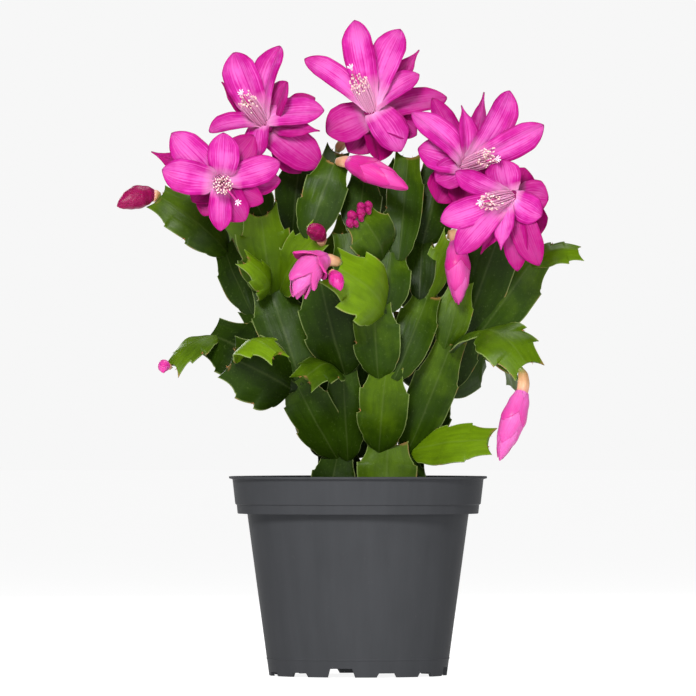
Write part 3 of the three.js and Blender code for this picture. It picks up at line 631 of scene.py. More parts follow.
# Each joint: the joint that it grows on and how far to the side, its tip, its width, the way its broad face
# looks, how far it arches and cups that way, how bright its green is, and its outline. A stem's first joint
# has a place in the soil instead of a joint to grow on.
stems = {
    "stem_left": {
        "a0": ((-15, 6, 70), 0, (-9, 3, 104), 22, (-0.2, -1, 0), 0.02, -0.1, 0.2, "plain"),
        "a1": ("a0", 0, (-29, -14, 137), 23, (-0.25, -0.9, 0.1), 0.05, -0.12, 0.45, "old"),
        "a2": ("a1", -4, (-58, -34, 147), 33, (0.05, -1, 0.15), 0.1, -0.15, 0.25, "old"),
        "a3": ("a2", 0, (-38, -52, 149), 20, (0.1, -0.6, 0.8), 0.3, -0.2, 1.1, "young"),
        "a4": ("a1", 2, (-41, -8, 180), 26, (0, -1, 0.05), 0.02, -0.08, 0.4, "old"),
        "a5": ("a1", 0, (-68, 0, 158), 31, (-0.1, -0.9, 0.35), 0.12, -0.15, 0.15, "old"),
        "a6": ("a5", 0, (-85, -14, 144), 16, (-0.4, -0.7, 0.6), 0.14, -0.2, 0.72, "young"),
        "a7": ("a1", 2, (-50, 2, 170), 18, (-0.2, -1, 0), 0.05, 0, 0.2, "plain"),
        "a8": ("a7", 0, (-62, 10, 199), 17, (-0.4, -0.9, 0), 0.04, 0.1, 0.3, "plain"),
        "a9": ("a8", 0, (-92, 8, 222), 22, (-0.1, -0.85, 0.5), 0.12, -0.12, 0.55, "old"),
        "a10": ("a4", -1, (-45, -24, 213), 27, (0.1, -1, 0.1), 0.06, -0.1, 0.75, "young"),
        "a11": ("a10", 2, (-53, -12, 231), 18, (0.1, -0.9, -0.3), 0.03, 0, 0.3, "plain"),
        "a12": ("a4", -6, (-51, -30, 192), 15, (0.7, -0.7, 0.1), 0.25, -0.3, 0.9, "young"),
        "a13": ("a4", 5, (-20, -34, 202), 24, (0.1, -0.8, 0.5), 0.08, 0.1, 0.85, "young"),
        "a14": ("a13", -3, (-11, -26, 237), 21, (-0.1, -1, 0.1), 0.06, -0.12, 0.45, "old"),
        "a15": ("a0", 5, (-7, -12, 143), 20, (0, -1, 0), 0.05, -0.1, 0.4, "plain"),
        "a16": ("a15", -3, (-24, -34, 138), 22, (-0.1, -0.8, 0.6), 0.2, -0.15, 0.6, "young"),
        "a17": ("a15", 1, (-17, -26, 182), 29, (-0.2, -1, 0), 0.06, -0.12, 0.3, "old"),
    },
    "stem_front": {
        "b0": ((12, -5, 70), 0, (14, -6, 107), 29, (0, -1, 0), 0.02, -0.1, 0.55, "old"),
        "b1": ("b0", -4, (13, -22, 141), 24, (-0.1, -1, 0), 0.05, -0.15, 0.55, "old"),
        "b2": ("b1", -3, (8, -32, 171), 23, (-0.25, -1, 0), 0.04, -0.12, 0.55, "old"),
        "b3": ("b2", 3, (-9, -54, 188), 33, (0.5, -0.8, 0.1), 0.2, -0.15, 1.0, "young"),
        "b4": ("b2", -2, (-4, -26, 205), 24, (0, -1, 0.1), 0.03, -0.1, 0.45, "old"),
        "b5": ("b2", 4, (15, -28, 196), 22, (0.1, -1, 0), 0.03, -0.1, 0.45, "old"),
        "b6": ("b5", -4, (2, -42, 211), 26, (0.1, -0.9, 0.45), 0.14, -0.1, 0.55, "old"),
        "b7": ("b5", 4, (23, -14, 240), 18, (0.1, -1, 0), 0.03, -0.08, 0.5, "old"),
        "b8": ("b1", 4, (32, -14, 176), 20, (0.15, -1, 0), 0.05, -0.12, 0.5, "old"),
        "b9": ("b8", 0, (42, -8, 202), 14, (0.4, -0.9, 0.1), -0.04, -0.15, 0.75, "young"),
        "b11": ("b8", -3, (30, -6, 203), 14, (0, -1, 0.1), 0.03, 0, 0.3, "plain"),
        "b12": ("b11", 0, (38, -4, 234), 26, (0.1, -1, 0), 0.05, -0.1, 0.35, "old"),
        "b13": ("b4", 3, (3, -14, 232), 19, (0, -1, 0.1), 0.03, 0, 0.35, "plain"),
    },
    "stem_right": {
        "c0": ((27, 2, 70), 0, (20, 0, 106), 18, (0.3, -1, 0), 0.02, -0.1, 0.3, "plain"),
        "c1": ("c0", 2, (43, -10, 154), 22, (0.2, -1, 0), 0.04, -0.12, 0.5, "plain"),
        "c2": ("c1", 2, (60, -24, 159), 17, (0, -0.35, 0.95), 0.12, -0.1, 0.5, "old"),
        "c3": ("c2", 0, (77, -42, 144.5), 28, (0.1, -0.8, 0.55), 0.2, -0.15, 0.75, "young"),
        "c4": ("c1", -2, (48, -8, 182), 17, (0.1, -1, 0), 0.04, -0.12, 0.65, "plain"),
        # c5's tone is set high to paint the glossy sheen on its face: a painted highlight
        "c5": ("c0", 5, (60, -24, 109), 21, (0.05, -0.9, 0.4), 0.06, -0.08, 1.0, "old"),
    },
    "stem_back_right": {
        "d0": ((16, 18, 70), 0, (24, 16, 104), 24, (0.2, 1, 0), 0.02, -0.1, 0.3, "plain"),
        "d1": ("d0", 0, (38, 15, 134), 24, (0.3, 1, 0), 0.03, -0.1, 0.35, "plain"),
        "d2": ("d1", 0, (53, 6, 160), 19, (0.1, -1, 0), 0.03, -0.1, 0.35, "plain"),
        "d3": ("d2", -3, (66, -6, 206), 26, (0.05, -1, 0), 0.02, -0.1, 0.4, "old"),
        "d4": ("d2", 3, (82, 4, 194), 26, (0.2, -1, 0.1), 0.05, -0.1, 0.55, "old"),
        "d5": ("d4", 0, (102, 3, 197), 14, (-0.2, -0.8, 0.55), 0.2, -0.25, 0.8, "young"),
        "d6": ("d1", 4, (58, 48, 150), 24, (0.9, 0.2, 0.4), 0.15, -0.12, 0.5, "plain"),
        "d7": ("d6", 0, (74, 68, 134), 20, (0.8, 0.1, 0.6), 0.16, -0.15, 0.7, "plain"),
        "d8": ("d1", -3, (28, 48, 170), 35, (0, 1, 0.2), 0.05, -0.1, 0.35, "plain"),
        "d9": ("d8", -3, (24, 60, 204), 33, (-0.3, 0.9, 0.2), 0.06, -0.1, 0.45, "plain"),
        "d10": ("d8", 3, (54, 60, 192), 24, (0.9, 0.4, 0.2), 0.08, -0.1, 0.6, "plain"),
        "d11": ("d9", 0, (36, 74, 224), 20, (0.8, 0.5, 0.3), 0.1, -0.15, 0.7, "plain"),
        "d12": ("d9", -4, (11, 66, 236), 26, (0.1, 1, 0.1), 0.04, -0.1, 0.4, "plain"),
    },
    "stem_back_left": {
        "e0": ((-4, 20, 70), 0, (-10, 20, 104), 28, (-0.1, 1, 0), 0.02, -0.1, 0.25, "plain"),
        "e1": ("e0", 3, (-22, 22, 142), 27, (-0.2, 1, 0), 0.04, -0.1, 0.3, "plain"),
        "e2": ("e1", 3, (-26, 14, 172), 26, (-0.1, 1, 0), 0.03, -0.1, 0.3, "plain"),
        "e3": ("e2", 0, (-29, 6, 205), 20, (0, -1, 0), 0.03, -0.1, 0.3, "plain"),
        "e4": ("e3", -2, (-27, 4, 239), 22, (-0.1, -1, 0), 0.04, -0.1, 0.35, "old"),
        "e5": ("e3", 3, (-10, 6, 243), 18, (0.1, -1, 0), 0.04, -0.1, 0.35, "plain"),
        "e6": ("e0", -5, (9, 34, 140.5), 37, (0, 1, 0), 0.04, -0.1, 0.35, "plain"),
        "e7": ("e6", 3, (-5, 43, 176), 33, (-0.2, 0.95, 0.1), 0.05, -0.1, 0.4, "plain"),
        "e8": ("e7", 0, (1, 47, 212), 34, (0.1, 0.95, 0.2), 0.05, -0.1, 0.5, "plain"),
        "e9": ("e1", -3, (-54, 46, 158), 27, (-0.9, 0.2, 0.4), 0.12, -0.12, 0.5, "plain"),
        "e10": ("e9", 0, (-64, 66, 152), 21, (-0.8, 0.1, 0.6), 0.18, -0.15, 0.7, "plain"),
        "e11": ("e2", 4, (-46, 52, 196), 25, (-0.9, 0.4, 0.2), 0.07, -0.1, 0.45, "plain"),
        "e12": ("e11", 0, (-64, 66, 216), 22, (-0.8, 0.2, 0.5), 0.12, -0.12, 0.65, "plain"),
    },
}
tips = {}
tufts = []
tuftShape = {"length": 1.5, "girth": 0.42, "bristle": 0.14, "tone": 2.0}


def layTuft(spot, out, across, normal):
    # a woolly spot with a few bristles
    long, thick, thin = tuftShape["length"], tuftShape["girth"], tuftShape["bristle"]
    pieces = []
    for lean, reach, girth in ((0, 0.5, thick), (0.5, 1, thin), (-0.4, 0.85, thin)):
        aim = (out + across * lean + normal * dice.uniform(-0.3, 0.3)).normalized() * long * reach
        strand = quadratic(spot - aim * 0.5, spot + aim * 0.3, spot + aim)
        pieces.append(bendRod(bristle, strand, lambda t: girth * (1 - 0.8 * t), tuftShape["tone"]))
    return joinPieces(pieces, "tuft")


def layJoint(name, row, sheets):
    on, side, tip, wide, face, arch, cup, tone, form = row
    tip = Vector(tip)
    if on in tips:
        parent = tips[on]
        start = parent["tip"] - parent["along"] * jointShape["sink"] + parent["across"] * side
    else:
        start = Vector(on)
    chord = tip - start
    length = chord.length
    across = chord.cross(Vector(face)).normalized()
    face = across.cross(chord).normalized()
    spine = quadratic(start, start.lerp(tip, 0.5) + face * (2 * arch * length), tip)
    last = outlines[form][-1]
    half = wide / 2 * last[1]
    horn = length * last[3]
    tips[name] = {"tip": tip, "across": across, "along": heading(spine, 1), "horn": horn, "half": half}
    phase = dice.uniform(0, 6)
    ripple = jointShape["ripple"] * (jointShape["youngRipple"] if form == "young" else 1)
    rows = toothedRows(outlines[form], jointShape["steps"])
    if form not in sheets:
        sheets[form] = makeSheet(jointShape["columns"], len(rows) - 1)
    frames = []
    for u, *_ in rows:
        along = heading(spine, u)
        outward = (across - along * across.dot(along)).normalized()
        frames.append((spine(u), along, outward, outward.cross(along).normalized()))

    def flatPlace(index, v):
        # the place on the uncupped blade, and the half width there
        _, left, right, leadLeft, leadRight = rows[index]
        centre, along, outward, _ = frames[index]
        width = wide / 2 * (left if v < 0 else right)
        ahead = length * (leadLeft if v < 0 else leadRight) * abs(v) ** 2.2
        return centre + along * ahead + outward * (v * width), width

    def shape(index, v):
        u = rows[index][0]
        normal = frames[index][3]
        reach = abs(v)
        place, width = flatPlace(index, v)
        wave = ripple * math.sin(u * 11 + phase + (2 if v < 0 else 0)) * reach ** 3 * min(1, u * 4)
        swell = noise.noise(Vector((u * length * 0.09, v * half * 0.16, phase))) * jointShape["uneven"]
        wave += swell * min(1, u * 5) * min(1, (1 - u) * 5)
        point = place + normal * (cup * width * reach * reach + wave)
        # full along the rib, with a soft shoulder beside it
        share = 0.72 * (1 - reach ** 1.8) + 0.28 * max(0, 1 - reach * 2.6) ** 1.5
        return metres(point), max(0, share * (0.75 + 0.25 * math.sin(math.pi * min(u * 1.3, 1))))

    piece = bendSheet(sheets[form], len(rows), shape)
    spread = jointShape["toneSpread"]
    setTone(piece, tone + dice.uniform(-spread, spread))
    end = len(rows) - 1
    for index, v in notchesOf(rows) + [(end, -0.4), (end, 0.4)]:
        centre, along, outward, normal = frames[index]
        place, width = flatPlace(index, v)
        spot = place + normal * (cup * width * v * v)
        tufts.append(layTuft(spot, (along + outward * v * 0.8).normalized(), outward, normal))
    return piece


def makeStem(name, rows, sheets):
    tufts.clear()
    pieces = [layJoint(joint, row, sheets) for joint, row in rows.items()]
    stem = joinPieces(pieces, titled(name) + "Joints")
    thicken(stem, jointShape["thick"], jointShape["thin"], 0)
    stem = joinPieces([stem, *tufts], stem.name)
    smooth(stem, 70)
    handOver(stem, "joint", name)


def standOn(name, girth, side=0, nudge=0):
    # where a bloom or a bud stands on a joint's tip, clear of its horns, and the way the joint points there
    joint = tips[name]
    clear = 0.1 - nudge * 0.6 + joint["horn"] * min(1, (abs(side) + girth) / joint["half"]) * 0.35
    return joint["tip"] + joint["along"] * clear + joint["across"] * side, joint["along"]


bristle = makeRod(5, 3)
jointSheets = {}
for stemName, stemRows in stems.items():
    makeStem(stemName, stemRows, jointSheets)
discard(*jointSheets.values(), bristle)
print("five stems are made")


# The open blooms. Each petal is its tier, the tip from the throat as x, y, z, and its width.
blooms = [
    {
        "on": "a11",
        "throat": (-63.5, -44, 229),
        "look": (0.15, -0.97, -0.15),
        "brush": (2, -16, -3),
        "style": (8, -24, -10),
        "petals": [
            (0, -22.5, -5, 22, 15), (2, -32, 5, 13.5, 9), (0, -27, -6, 5, 14), (0, 1.5, -7, 22, 13),
            (1, 15.5, -1, 21, 13), (0, 28, -4, 8.5, 12), (1, 28, 2, 0, 12), (0, 0, -8, -23.5, 10),
            (1, 11, -1, -19, 13), (2, -13, 3, -9.5, 12), (2, -8, 4, -16, 11), (1, 20, -3, -10, 10),
        ],
    },
    {
        "on": "e4",
        "throat": (-44.5, -22, 257),
        "look": (-0.4, -0.75, 0.5),
        "brush": (-8, -12, 11),
        "style": (-9, -17, 12),
        "petals": [
            (0, -13.5, -3, 32, 16), (0, 8.5, 0, 35, 14), (2, -19, 5, 18.5, 9), (0, -24.5, -6, -5, 11),
            (1, 12, -8, 18, 13), (2, 24.5, 4, 11.5, 12), (0, 29, -4, 5, 14), (1, 27, -8, -5, 9),
            (0, -2, -8, -17, 11), (1, 28, 0, -21, 16), (2, 18, 1, -24, 13),
        ],
    },
    {
        "on": "e5",
        "throat": (6, -14, 263),
        "look": (-0.2, -0.8, 0.5),
        "brush": (-7, -9, 15),
        "style": (-9, -13, 18),
        "petals": [
            (0, -31, -3, 23.5, 11), (0, -8, 0, 41.5, 13), (0, 14, 0, 37, 14), (1, 22.5, 4, 27.5, 9),
            (0, 22.5, -3, 16, 11), (1, 35.5, 5, 5.5, 13), (1, 21.5, 0, -12, 14), (1, -20.5, 2, -11.5, 18),
            (2, -10.5, 4, -20, 14), (2, 4.5, 2, -24, 16), (0, 14, -5, -20, 15),
        ],
    },
    {
        "on": "b12",
        "throat": (49.5, -26, 236.5),
        "look": (0.5, -0.8, 0.15),
        "brush": (13, -14, 4.5),
        "style": (14, -14, 2.5),
        "petals": [
            (0, 36.5, -4, 18.5, 12.5), (0, 21.5, 0, 35, 13), (1, 8.5, 4, 34, 9), (0, -1.5, -4, 28, 9),
            (1, -15.5, 4, 31, 11), (0, -25, -2, 24.5, 12), (0, -22, -4, 8, 15), (0, -14, -5, -7, 13),
            (2, -13, 3, -17, 15), (2, -3.5, 2, -19, 12), (0, 6, -3, -9, 9), (2, 14, 4, -6, 12),
        ],
    },
    {
        "on": "d3",
        "throat": (70, -34, 222),
        "look": (-0.4, -0.85, -0.2),
        "brush": (-12, -12, -3.5),
        "style": (-13, -15, -3),
        "petals": [
            (0, -25.5, -9, 11, 10), (0, -4, -1, 17, 15), (2, 7, 5, 13, 12), (1, 18, 3, -1, 15),
            (0, 15, -5, -9, 13), (2, 14, 4, -18, 14), (0, -32.5, -6, -11.5, 12), (0, -24.5, -6, -27, 12),
            (1, -13.5, -1, -27, 9), (0, -4, -5, -25, 9), (1, 13.5, -2, -32.5, 12), (1, 3.5, 2, -35, 10),
        ],
    },
]
bloomShape = {
    "rows": 22, "columns": 10, "thick": 0.6, "thin": 0.3, "fuller": 1.16, "ripple": 0.045, "cup": 0.18,
    "channel": 0.02, "tierShare": (0.97, 0.8, 0.58), "tierTone": (0.0, 0.6, 0.9), "needle": 9.5,
    "ovaryShare": 0.24, "tubeTone": 0.35, "filaments": 52, "filamentGirth": 0.26, "goldenTurn": 2.39996,
    "bundle": (2.4, 1.5, 4.4),
}
petalWidths = [
    (0, 0.32), (0.16, 0.6), (0.36, 0.86), (0.58, 1), (0.75, 0.96), (0.87, 0.7), (0.95, 0.33), (1, 0.02),
]
needleWidths = [
    (0, 0.22), (0.2, 0.5), (0.42, 0.92), (0.58, 1), (0.74, 0.72), (0.86, 0.28), (0.93, 0.1), (1, 0.04),
]
ovaryGirth = [(0, 1.2), (0.35, 2.3), (0.75, 2.5), (1, 1.9)]
throatGirth = [(0, 1.9), (0.4, 2.2), (0.8, 3.1), (1, 3.5)]


def layPetal(sheet, spine, side, wide, tone, recurve):
    # each petal is twisted, creased and folded a little in its own way
    rows = bloomShape["rows"] + 1
    widths = needleWidths if wide <= bloomShape["needle"] else petalWidths
    phase = dice.uniform(0, 6)
    ripple = bloomShape["ripple"] * wide
    wide *= bloomShape["fuller"]
    lopsided = dice.uniform(-0.09, 0.09)
    twist = dice.uniform(-0.22, 0.22)
    crease = dice.uniform(0.025, 0.055)
    fold = dice.uniform(0.1, 0.26) * dice.choice((-1, 1))
    foldAt = dice.uniform(-0.45, 0.45)
    frames = []
    for index in range(rows):
        u = index / (rows - 1)
        along = heading(spine, u)
        outward = (side - along * side.dot(along)).normalized()
        outward = Matrix.Rotation(twist * u, 3, along) @ outward
        frames.append((u, spine(u), outward, outward.cross(along).normalized(), between(widths, u)))

    def shape(index, v):
        u, centre, outward, normal, share = frames[index]
        width = wide / 2 * share * (1 + lopsided * (1 if v > 0 else -1))
        reach = abs(v)
        wave = ripple * math.sin(u * 9 + phase + (1.7 if v < 0 else 0)) * reach ** 2 * u
        wave += crease * wide * math.cos(v * 5.5 + phase) * math.sin(math.pi * u) * (1 - reach * 0.4)
        wave -= fold * width * abs(v - foldAt) * math.sin(math.pi * u)
        bowl = bloomShape["cup"] * width * reach ** 1.35
        bowl -= bloomShape["channel"] * wide * max(0, 1 - reach * 4)
        point = centre + outward * (v * width) + normal * (bowl + wave - recurve * u ** 4)
        return metres(point), 1 - 0.9 * reach ** 2

    piece = bendSheet(sheet, rows, shape)
    setTone(piece, tone)
    return piece


def makePetals(name, bloom, curve, throat, sheet, tube):
    pieces = []
    for tier, x, y, z, wide in bloom["petals"]:
        rootShare = bloomShape["tierShare"][tier]
        axis = heading(curve, rootShare)
        root = curve(rootShare)
        tip = throat + Vector((x, y, z))
        out = tip - root
        radial = (out - axis * out.dot(axis)).normalized()
        reach = out.length
        root = root + radial * 1.2 - axis * 2
        leaving = root + axis * reach * 0.34 + radial * reach * 0.1
        spine = cubic(root, leaving, root.lerp(tip, 0.66) + axis * reach * 0.16, tip)
        side = radial.cross(axis).normalized()
        # the tier's tone darkens the back tiers, partly as painted shade, and varies at random between petals
        tone = bloomShape["tierTone"][tier] + dice.uniform(-0.1, 0.25)
        pieces.append(layPetal(sheet, spine, side, wide, tone, dice.uniform(-0.5, 1.6)))
    petals = joinPieces(pieces, name)
    thicken(petals, bloomShape["thick"], bloomShape["thin"])
    return joinPieces([petals, tube], name)


def antherGirth(t):
    return 0.14 + 0.28 * math.sin(math.pi * t) ** 0.6


def makeStamens(name, bloom, throat, look, thread):
    # filaments in a loose bundle, and the longer style with its star of a stigma
    mouth = throat - look * 2
    brushTip = throat + Vector(bloom["brush"])
    styleTip = throat + Vector(bloom["style"])
    across = look.cross(Vector((0.3, 0.2, 1))).normalized()
    rise = look.cross(across)
    thick = bloomShape["filamentGirth"]
    pieces = []
    low, belly, high = bloomShape["bundle"]
    for k in range(bloomShape["filaments"]):
        turn = k * bloomShape["goldenTurn"]
        spread = math.sqrt((k + 0.5) / bloomShape["filaments"])
        lean = across * math.cos(turn) + rise * math.sin(turn)
        foot = mouth + lean * (low * spread)
        shorter = 0.62 + 0.38 * dice.random()
        end = mouth + (brushTip - mouth) * shorter + lean * (high * spread) + look * dice.uniform(-1, 1)
        middle = foot.lerp(end, 0.5) + lean * (belly * spread) + look * 1.2
        strand = quadratic(foot, middle, end)
        pieces.append(bendRod(thread, strand, taper(thick, 0.08), stamenTones["filament"]))
        aim = heading(strand, 1) + lean * dice.uniform(-0.8, 0.8) + rise * dice.uniform(-0.6, 0.6)
        aim.normalize()
        grain = quadratic(end - aim * 0.6, end + lean * 0.1, end + aim * 0.6)
        pieces.append(bendRod(thread, grain, antherGirth, stamenTones["anther"]))
    style = quadratic(mouth, mouth.lerp(styleTip, 0.5) + look * 2, styleTip)
    pieces.append(bendRod(thread, style, taper(0.5, 0.1), stamenTones["style"]))
    aim = heading(style, 1)
    flat = aim.cross(Vector((0.2, 0.5, 1))).normalized()
    for k in range(6):
        lean = Matrix.Rotation(k * math.pi / 3, 3, aim) @ flat
        bend = styleTip + aim * 1.1 + lean * 0.3
        lobe = quadratic(styleTip - aim * 0.6, bend, styleTip + aim * 1.9 + lean * 1.6)
        pieces.append(bendRod(thread, lobe, taper(0.42, 0.2), stamenTones["stigma"]))
    return joinPieces(pieces, name)


def makeBloom(number, bloom, sheet, rod, thread):
    foot, along = standOn(bloom["on"], 1.3)
    throat = Vector(bloom["throat"])
    look = Vector(bloom["look"]).normalized()
    reach = (throat - foot).length
    curve = evenly(cubic(foot, foot + along * reach * 0.35, throat - look * reach * 0.4, throat))[0]
    share = bloomShape["ovaryShare"]
    ovary = bendRod(rod, curve, reading(ovaryGirth), ribs=5, depth=0.05, toShare=share)
    smooth(ovary)
    ovary.name = "Bloom%dOvary" % number
    handOver(ovary, "ovary", "bloom_%d_ovary" % number)

    tube = bendRod(
        rod, curve, reading(throatGirth), bloomShape["tubeTone"], ribs=6, depth=0.06,
        fromShare=share + 0.01, toShare=0.985,
    )
    petals = makePetals("Bloom%dPetals" % number, bloom, curve, throat, sheet, tube)
    smooth(petals, 70)
    handOver(petals, "petal", "bloom_%d_petals" % number)

    stamens = makeStamens("Bloom%dStamens" % number, bloom, throat, look, thread)
    smooth(stamens, 60)
    handOver(stamens, "stamen", "bloom_%d_stamens" % number)


petalSheet = makeSheet(bloomShape["columns"], bloomShape["rows"])
rod = makeRod(24, 14)
thread = makeRod(7, 8)
for number, bloom in enumerate(blooms, 1):
    makeBloom(number, bloom, petalSheet, rod, thread)
print("the blooms are open")


# The buds: spindles wrapped in overlapping petals, each on a pale tube. Each tier of petals is how many there
# are, the shares of the bud that they run from and to, how far round they reach, and how much deeper they are
# in colour.
buds = {
    "bud_far_left": {
        "on": "a9", "tip": (-112, 0, 218), "wide": 11,
        "bend": (-102, 5, 224), "tube": 0.15, "tone": 1.05,
    },
    "bud_top": {
        "on": "a14", "side": 1, "tip": (23, -50, 225), "wide": 12,
        "bend": (-3, -44, 239), "rise": 0.06, "tube": 0.24, "tone": 0.35,
    },
    "bud_opening": {
        "on": "b3", "side": 3, "nudge": 1.75, "tip": (-28, -69, 174), "wide": 13,
        "bend": (-24, -67, 195), "tube": 0.24, "opening": 4, "tone": 0.15,
    },
    "bud_small": {
        "on": "b3", "side": -3.5, "nudge": 0.7, "tip": (-8, -68, 178), "wide": 7,
        "bend": (-10, -65, 186), "tube": 0.3, "tone": 0.4,
    },
    "bud_round": {
        "on": "a13", "side": 4, "nudge": 0.9, "tip": (-22.5, -52, 205.5), "wide": 8,
        "bend": (-19.5, -43.5, 208), "tube": 0.2, "tone": 0.9,
    },
    "bud_hanging": {
        "on": "b9", "tip": (46.5, -19, 172), "wide": 12,
        "bend": (46, -23, 205), "tube": 0.28, "tone": 0.25,
    },
    "bud_low_right": {
        "on": "c3", "side": 3.5, "nudge": 1.1, "tip": (65, -53, 100), "wide": 12,
        "bend": (72, -56, 124), "tube": 0.27, "tone": 0.12,
    },
    "bud_left_tip": {
        "on": "a6", "side": 2, "tip": (-90, -21, 140.5), "wide": 5.6,
        "bend": (-91, -18, 147), "tube": 0.26, "tone": 0.3,
    },
    "bud_back_left": {
        "on": "e12", "tip": (-83, 70, 208), "wide": 9,
        "bend": (-77, 71, 221), "tube": 0.18, "tone": 0.55,
    },
    "bud_back_right": {
        "on": "d11", "tip": (50, 92, 224), "wide": 10,
        "bend": (42, 85, 234), "tube": 0.18, "tone": 0.55,
    },
}
budShape = {
    "rows": 14, "columns": 8, "thick": 0.55, "thinShare": 0.5, "wind": 0.7, "neck": 0.62, "widestNeck": 2.8,
    "gap": 0.05,
    "tiers": [(3, 0.0, 0.46, 1.2, 0.16), (3, 0.04, 0.78, 1.3, 0.06), (3, 0.12, 0.99, 1.25, -0.04)],
}
budGirth = [(0, 0.52), (0.16, 0.8), (0.4, 1), (0.64, 0.84), (0.84, 0.5), (0.96, 0.22), (1, 0.06)]
wrapWidths = [(0, 0.55), (0.3, 0.95), (0.6, 1), (0.85, 0.6), (1, 0.06)]


def wrapPetal(sheet, curve, start, radius, reachOf, turn, spread, flare, tone):
    # a petal that lies round the bud, from one share of its length to another
    low, high = reachOf
    rows = budShape["rows"] + 1
    up = levelAcross(heading(curve, start))
    frames = []
    for index in range(rows):
        u = index / (rows - 1)
        share = low + (high - low) * u
        along = heading(curve, start + (1 - start) * share)
        across = (up - along * up.dot(along)).normalized()
        frames.append((u, share, curve(start + (1 - start) * share), across, along.cross(across)))

    def shape(index, v):
        u, share, centre, across, upward = frames[index]
        angle = turn + budShape["wind"] * share + v * spread * between(wrapWidths, u)
        lift = radius * (0.035 + 0.03 * u * (1 - share))
        girth = radius * between(budGirth, share) + lift + flare * u ** 3 * (1 - 0.3 * v * v)
        return metres(centre + (across * math.cos(angle) + upward * math.sin(angle)) * girth), 1 - 0.8 * v * v

    piece = bendSheet(sheet, rows, shape)
    setTone(piece, tone)
    return piece


def makeBud(name, bud, sheet, rod):
    foot, along = standOn(bud["on"], 1.2, bud.get("side", 0), bud.get("nudge", 0))
    tip = Vector(bud["tip"])
    first = foot + along * ((tip - foot).length * bud.get("rise", 0.2))
    curve, length = evenly(cubic(foot, first, Vector(bud["bend"]), tip))
    radius = bud["wide"] / 2
    neck = min(radius * budShape["neck"], budShape["widestNeck"])
    tubeGirth = [(0, 1.3), (0.3, neck * 0.85), (0.7, neck), (1, neck * 0.96)]
    tube = bendRod(rod, curve, reading(tubeGirth), ribs=5, depth=0.06, toShare=bud["tube"])
    tube.name = titled(name) + "Tube"
    smooth(tube)
    handOver(tube, "ovary", name + "_tube")

    start = bud["tube"] + budShape["gap"] / length
    core = bendRod(
        rod, curve, reading(budGirth, radius * 0.92), bud["tone"], ribs=5, depth=0.03, wind=1,
        fromShare=start, toShare=0.998,
    )
    pieces = []
    for tier, (count, low, high, spread, deeper) in enumerate(budShape["tiers"]):
        flare = bud.get("opening", 0) * (1.2 - 0.3 * tier)
        lying = radius * (0.95 - 0.02 * tier)
        tone = bud["tone"] + deeper
        for k in range(count):
            turn = 2 * math.pi * (k + 0.5 * tier) / count + 0.4 * tier
            reachOf = (low, high + dice.uniform(-0.03, 0.02))
            pieces.append(wrapPetal(sheet, curve, start, lying, reachOf, turn, spread, flare, tone))
    wraps = joinPieces(pieces, name)
    thick = budShape["thick"] * min(1, radius / 5)
    thicken(wraps, thick, thick * budShape["thinShare"])
    whole = joinPieces([wraps, core], titled(name))
    smooth(whole, 65)
    handOver(whole, "bud", name)


budSheet = makeSheet(budShape["columns"], budShape["rows"])
for name, bud in buds.items():
    makeBud(name, bud, budSheet, rod)

# Bunches of bead-like young buds on a joint's tip: place along the tip edge, place up, diameter.
bunches = {
    "bud_bunch": {
        "on": "b6", "nudge": 0.9, "lean": (-0.2, -0.8, 0.6),
        "beads": [
            (-6.5, -1, 4), (-3, 1, 4.6), (0.8, -1, 4.2), (3.5, 1.2, 4.2), (6.5, -0.5, 3.6),
            (-1, -2.4, 2.8), (4.4, -2.2, 2.8), (-4.8, -2.8, 2.6),
        ],
    },
    "bud_beads_left": {
        "on": "a10", "nudge": 1.6, "lean": (-0.1, -0.8, 0.6), "beads": [(-5, 0, 3.4), (-2.2, 0.5, 3.8)],
    },
}
beadShape = {"thick": 0.4, "thin": 0.22, "petals": 4, "coreTone": 0.7, "petalTone": 0.95}
beadGirth = [(0.25, 0.4), (0.5, 0.5), (0.75, 0.4), (0.93, 0.2)]


def makeBunch(name, bunch, sheet, rod):
    joint = tips[bunch["on"]]
    clear = 0.35 - bunch["nudge"] + joint["horn"] * min(1, 7 / joint["half"])
    foot = joint["tip"] + joint["along"] * clear
    out = Vector(bunch["lean"]).normalized()
    up = out.cross(joint["across"]).normalized()
    pieces = []
    cores = []
    for side, rise, wide in bunch["beads"]:
        start = foot + joint["across"] * side + joint["along"] * 1.4 + up * rise - out * 0.8
        end = start + out * (wide * 1.2 + 0.8)
        curve = evenly(quadratic(start, start.lerp(end, 0.5) + joint["along"] * 0.6, end))[0]
        girth = [(0, 1.0), *((share, wide * part) for share, part in beadGirth), (1, 0.2)]
        cores.append(bendRod(rod, curve, reading(girth), beadShape["coreTone"], ribs=5, depth=0.05, wind=0.6))
        for k in range(beadShape["petals"]):
            reachOf = (0.16, 0.9 - 0.06 * k)
            tone = beadShape["petalTone"]
            pieces.append(wrapPetal(sheet, curve, 0.0, wide * 0.46, reachOf, k * 1.7, 0.85, 0.1, tone))
    wraps = joinPieces(pieces, name)
    thicken(wraps, beadShape["thick"], beadShape["thin"], 0)
    whole = joinPieces([wraps, *cores], titled(name))
    smooth(whole, 65)
    handOver(whole, "bud", name)


for name, bunch in bunches.items():
    makeBunch(name, bunch, budSheet, rod)
discard(petalSheet, rod, thread, budSheet)
print("the buds are made")


# The pot and its soil.
potShape = {
    "rim": 60, "height": 92.6, "lip": 1, "collarTop": 58.4, "step": 79.3, "stepRadius": 57.1,
    "collarFoot": 75.2, "collarRadius": 56, "bodyTop": 51.5, "foot": 41.3, "wall": 1.2, "floor": 4.2,
    "notchTurn": -11, "notchPitch": 30, "deepNotch": 10.5, "shallowNotch": (8, 1.9), "drain": 4,
    "drainRing": 27, "drains": 6, "sides": 144,
}


def potRadius(z):
    p = potShape
    return p["foot"] + (p["bodyTop"] - p["foot"]) * z / p["collarFoot"]


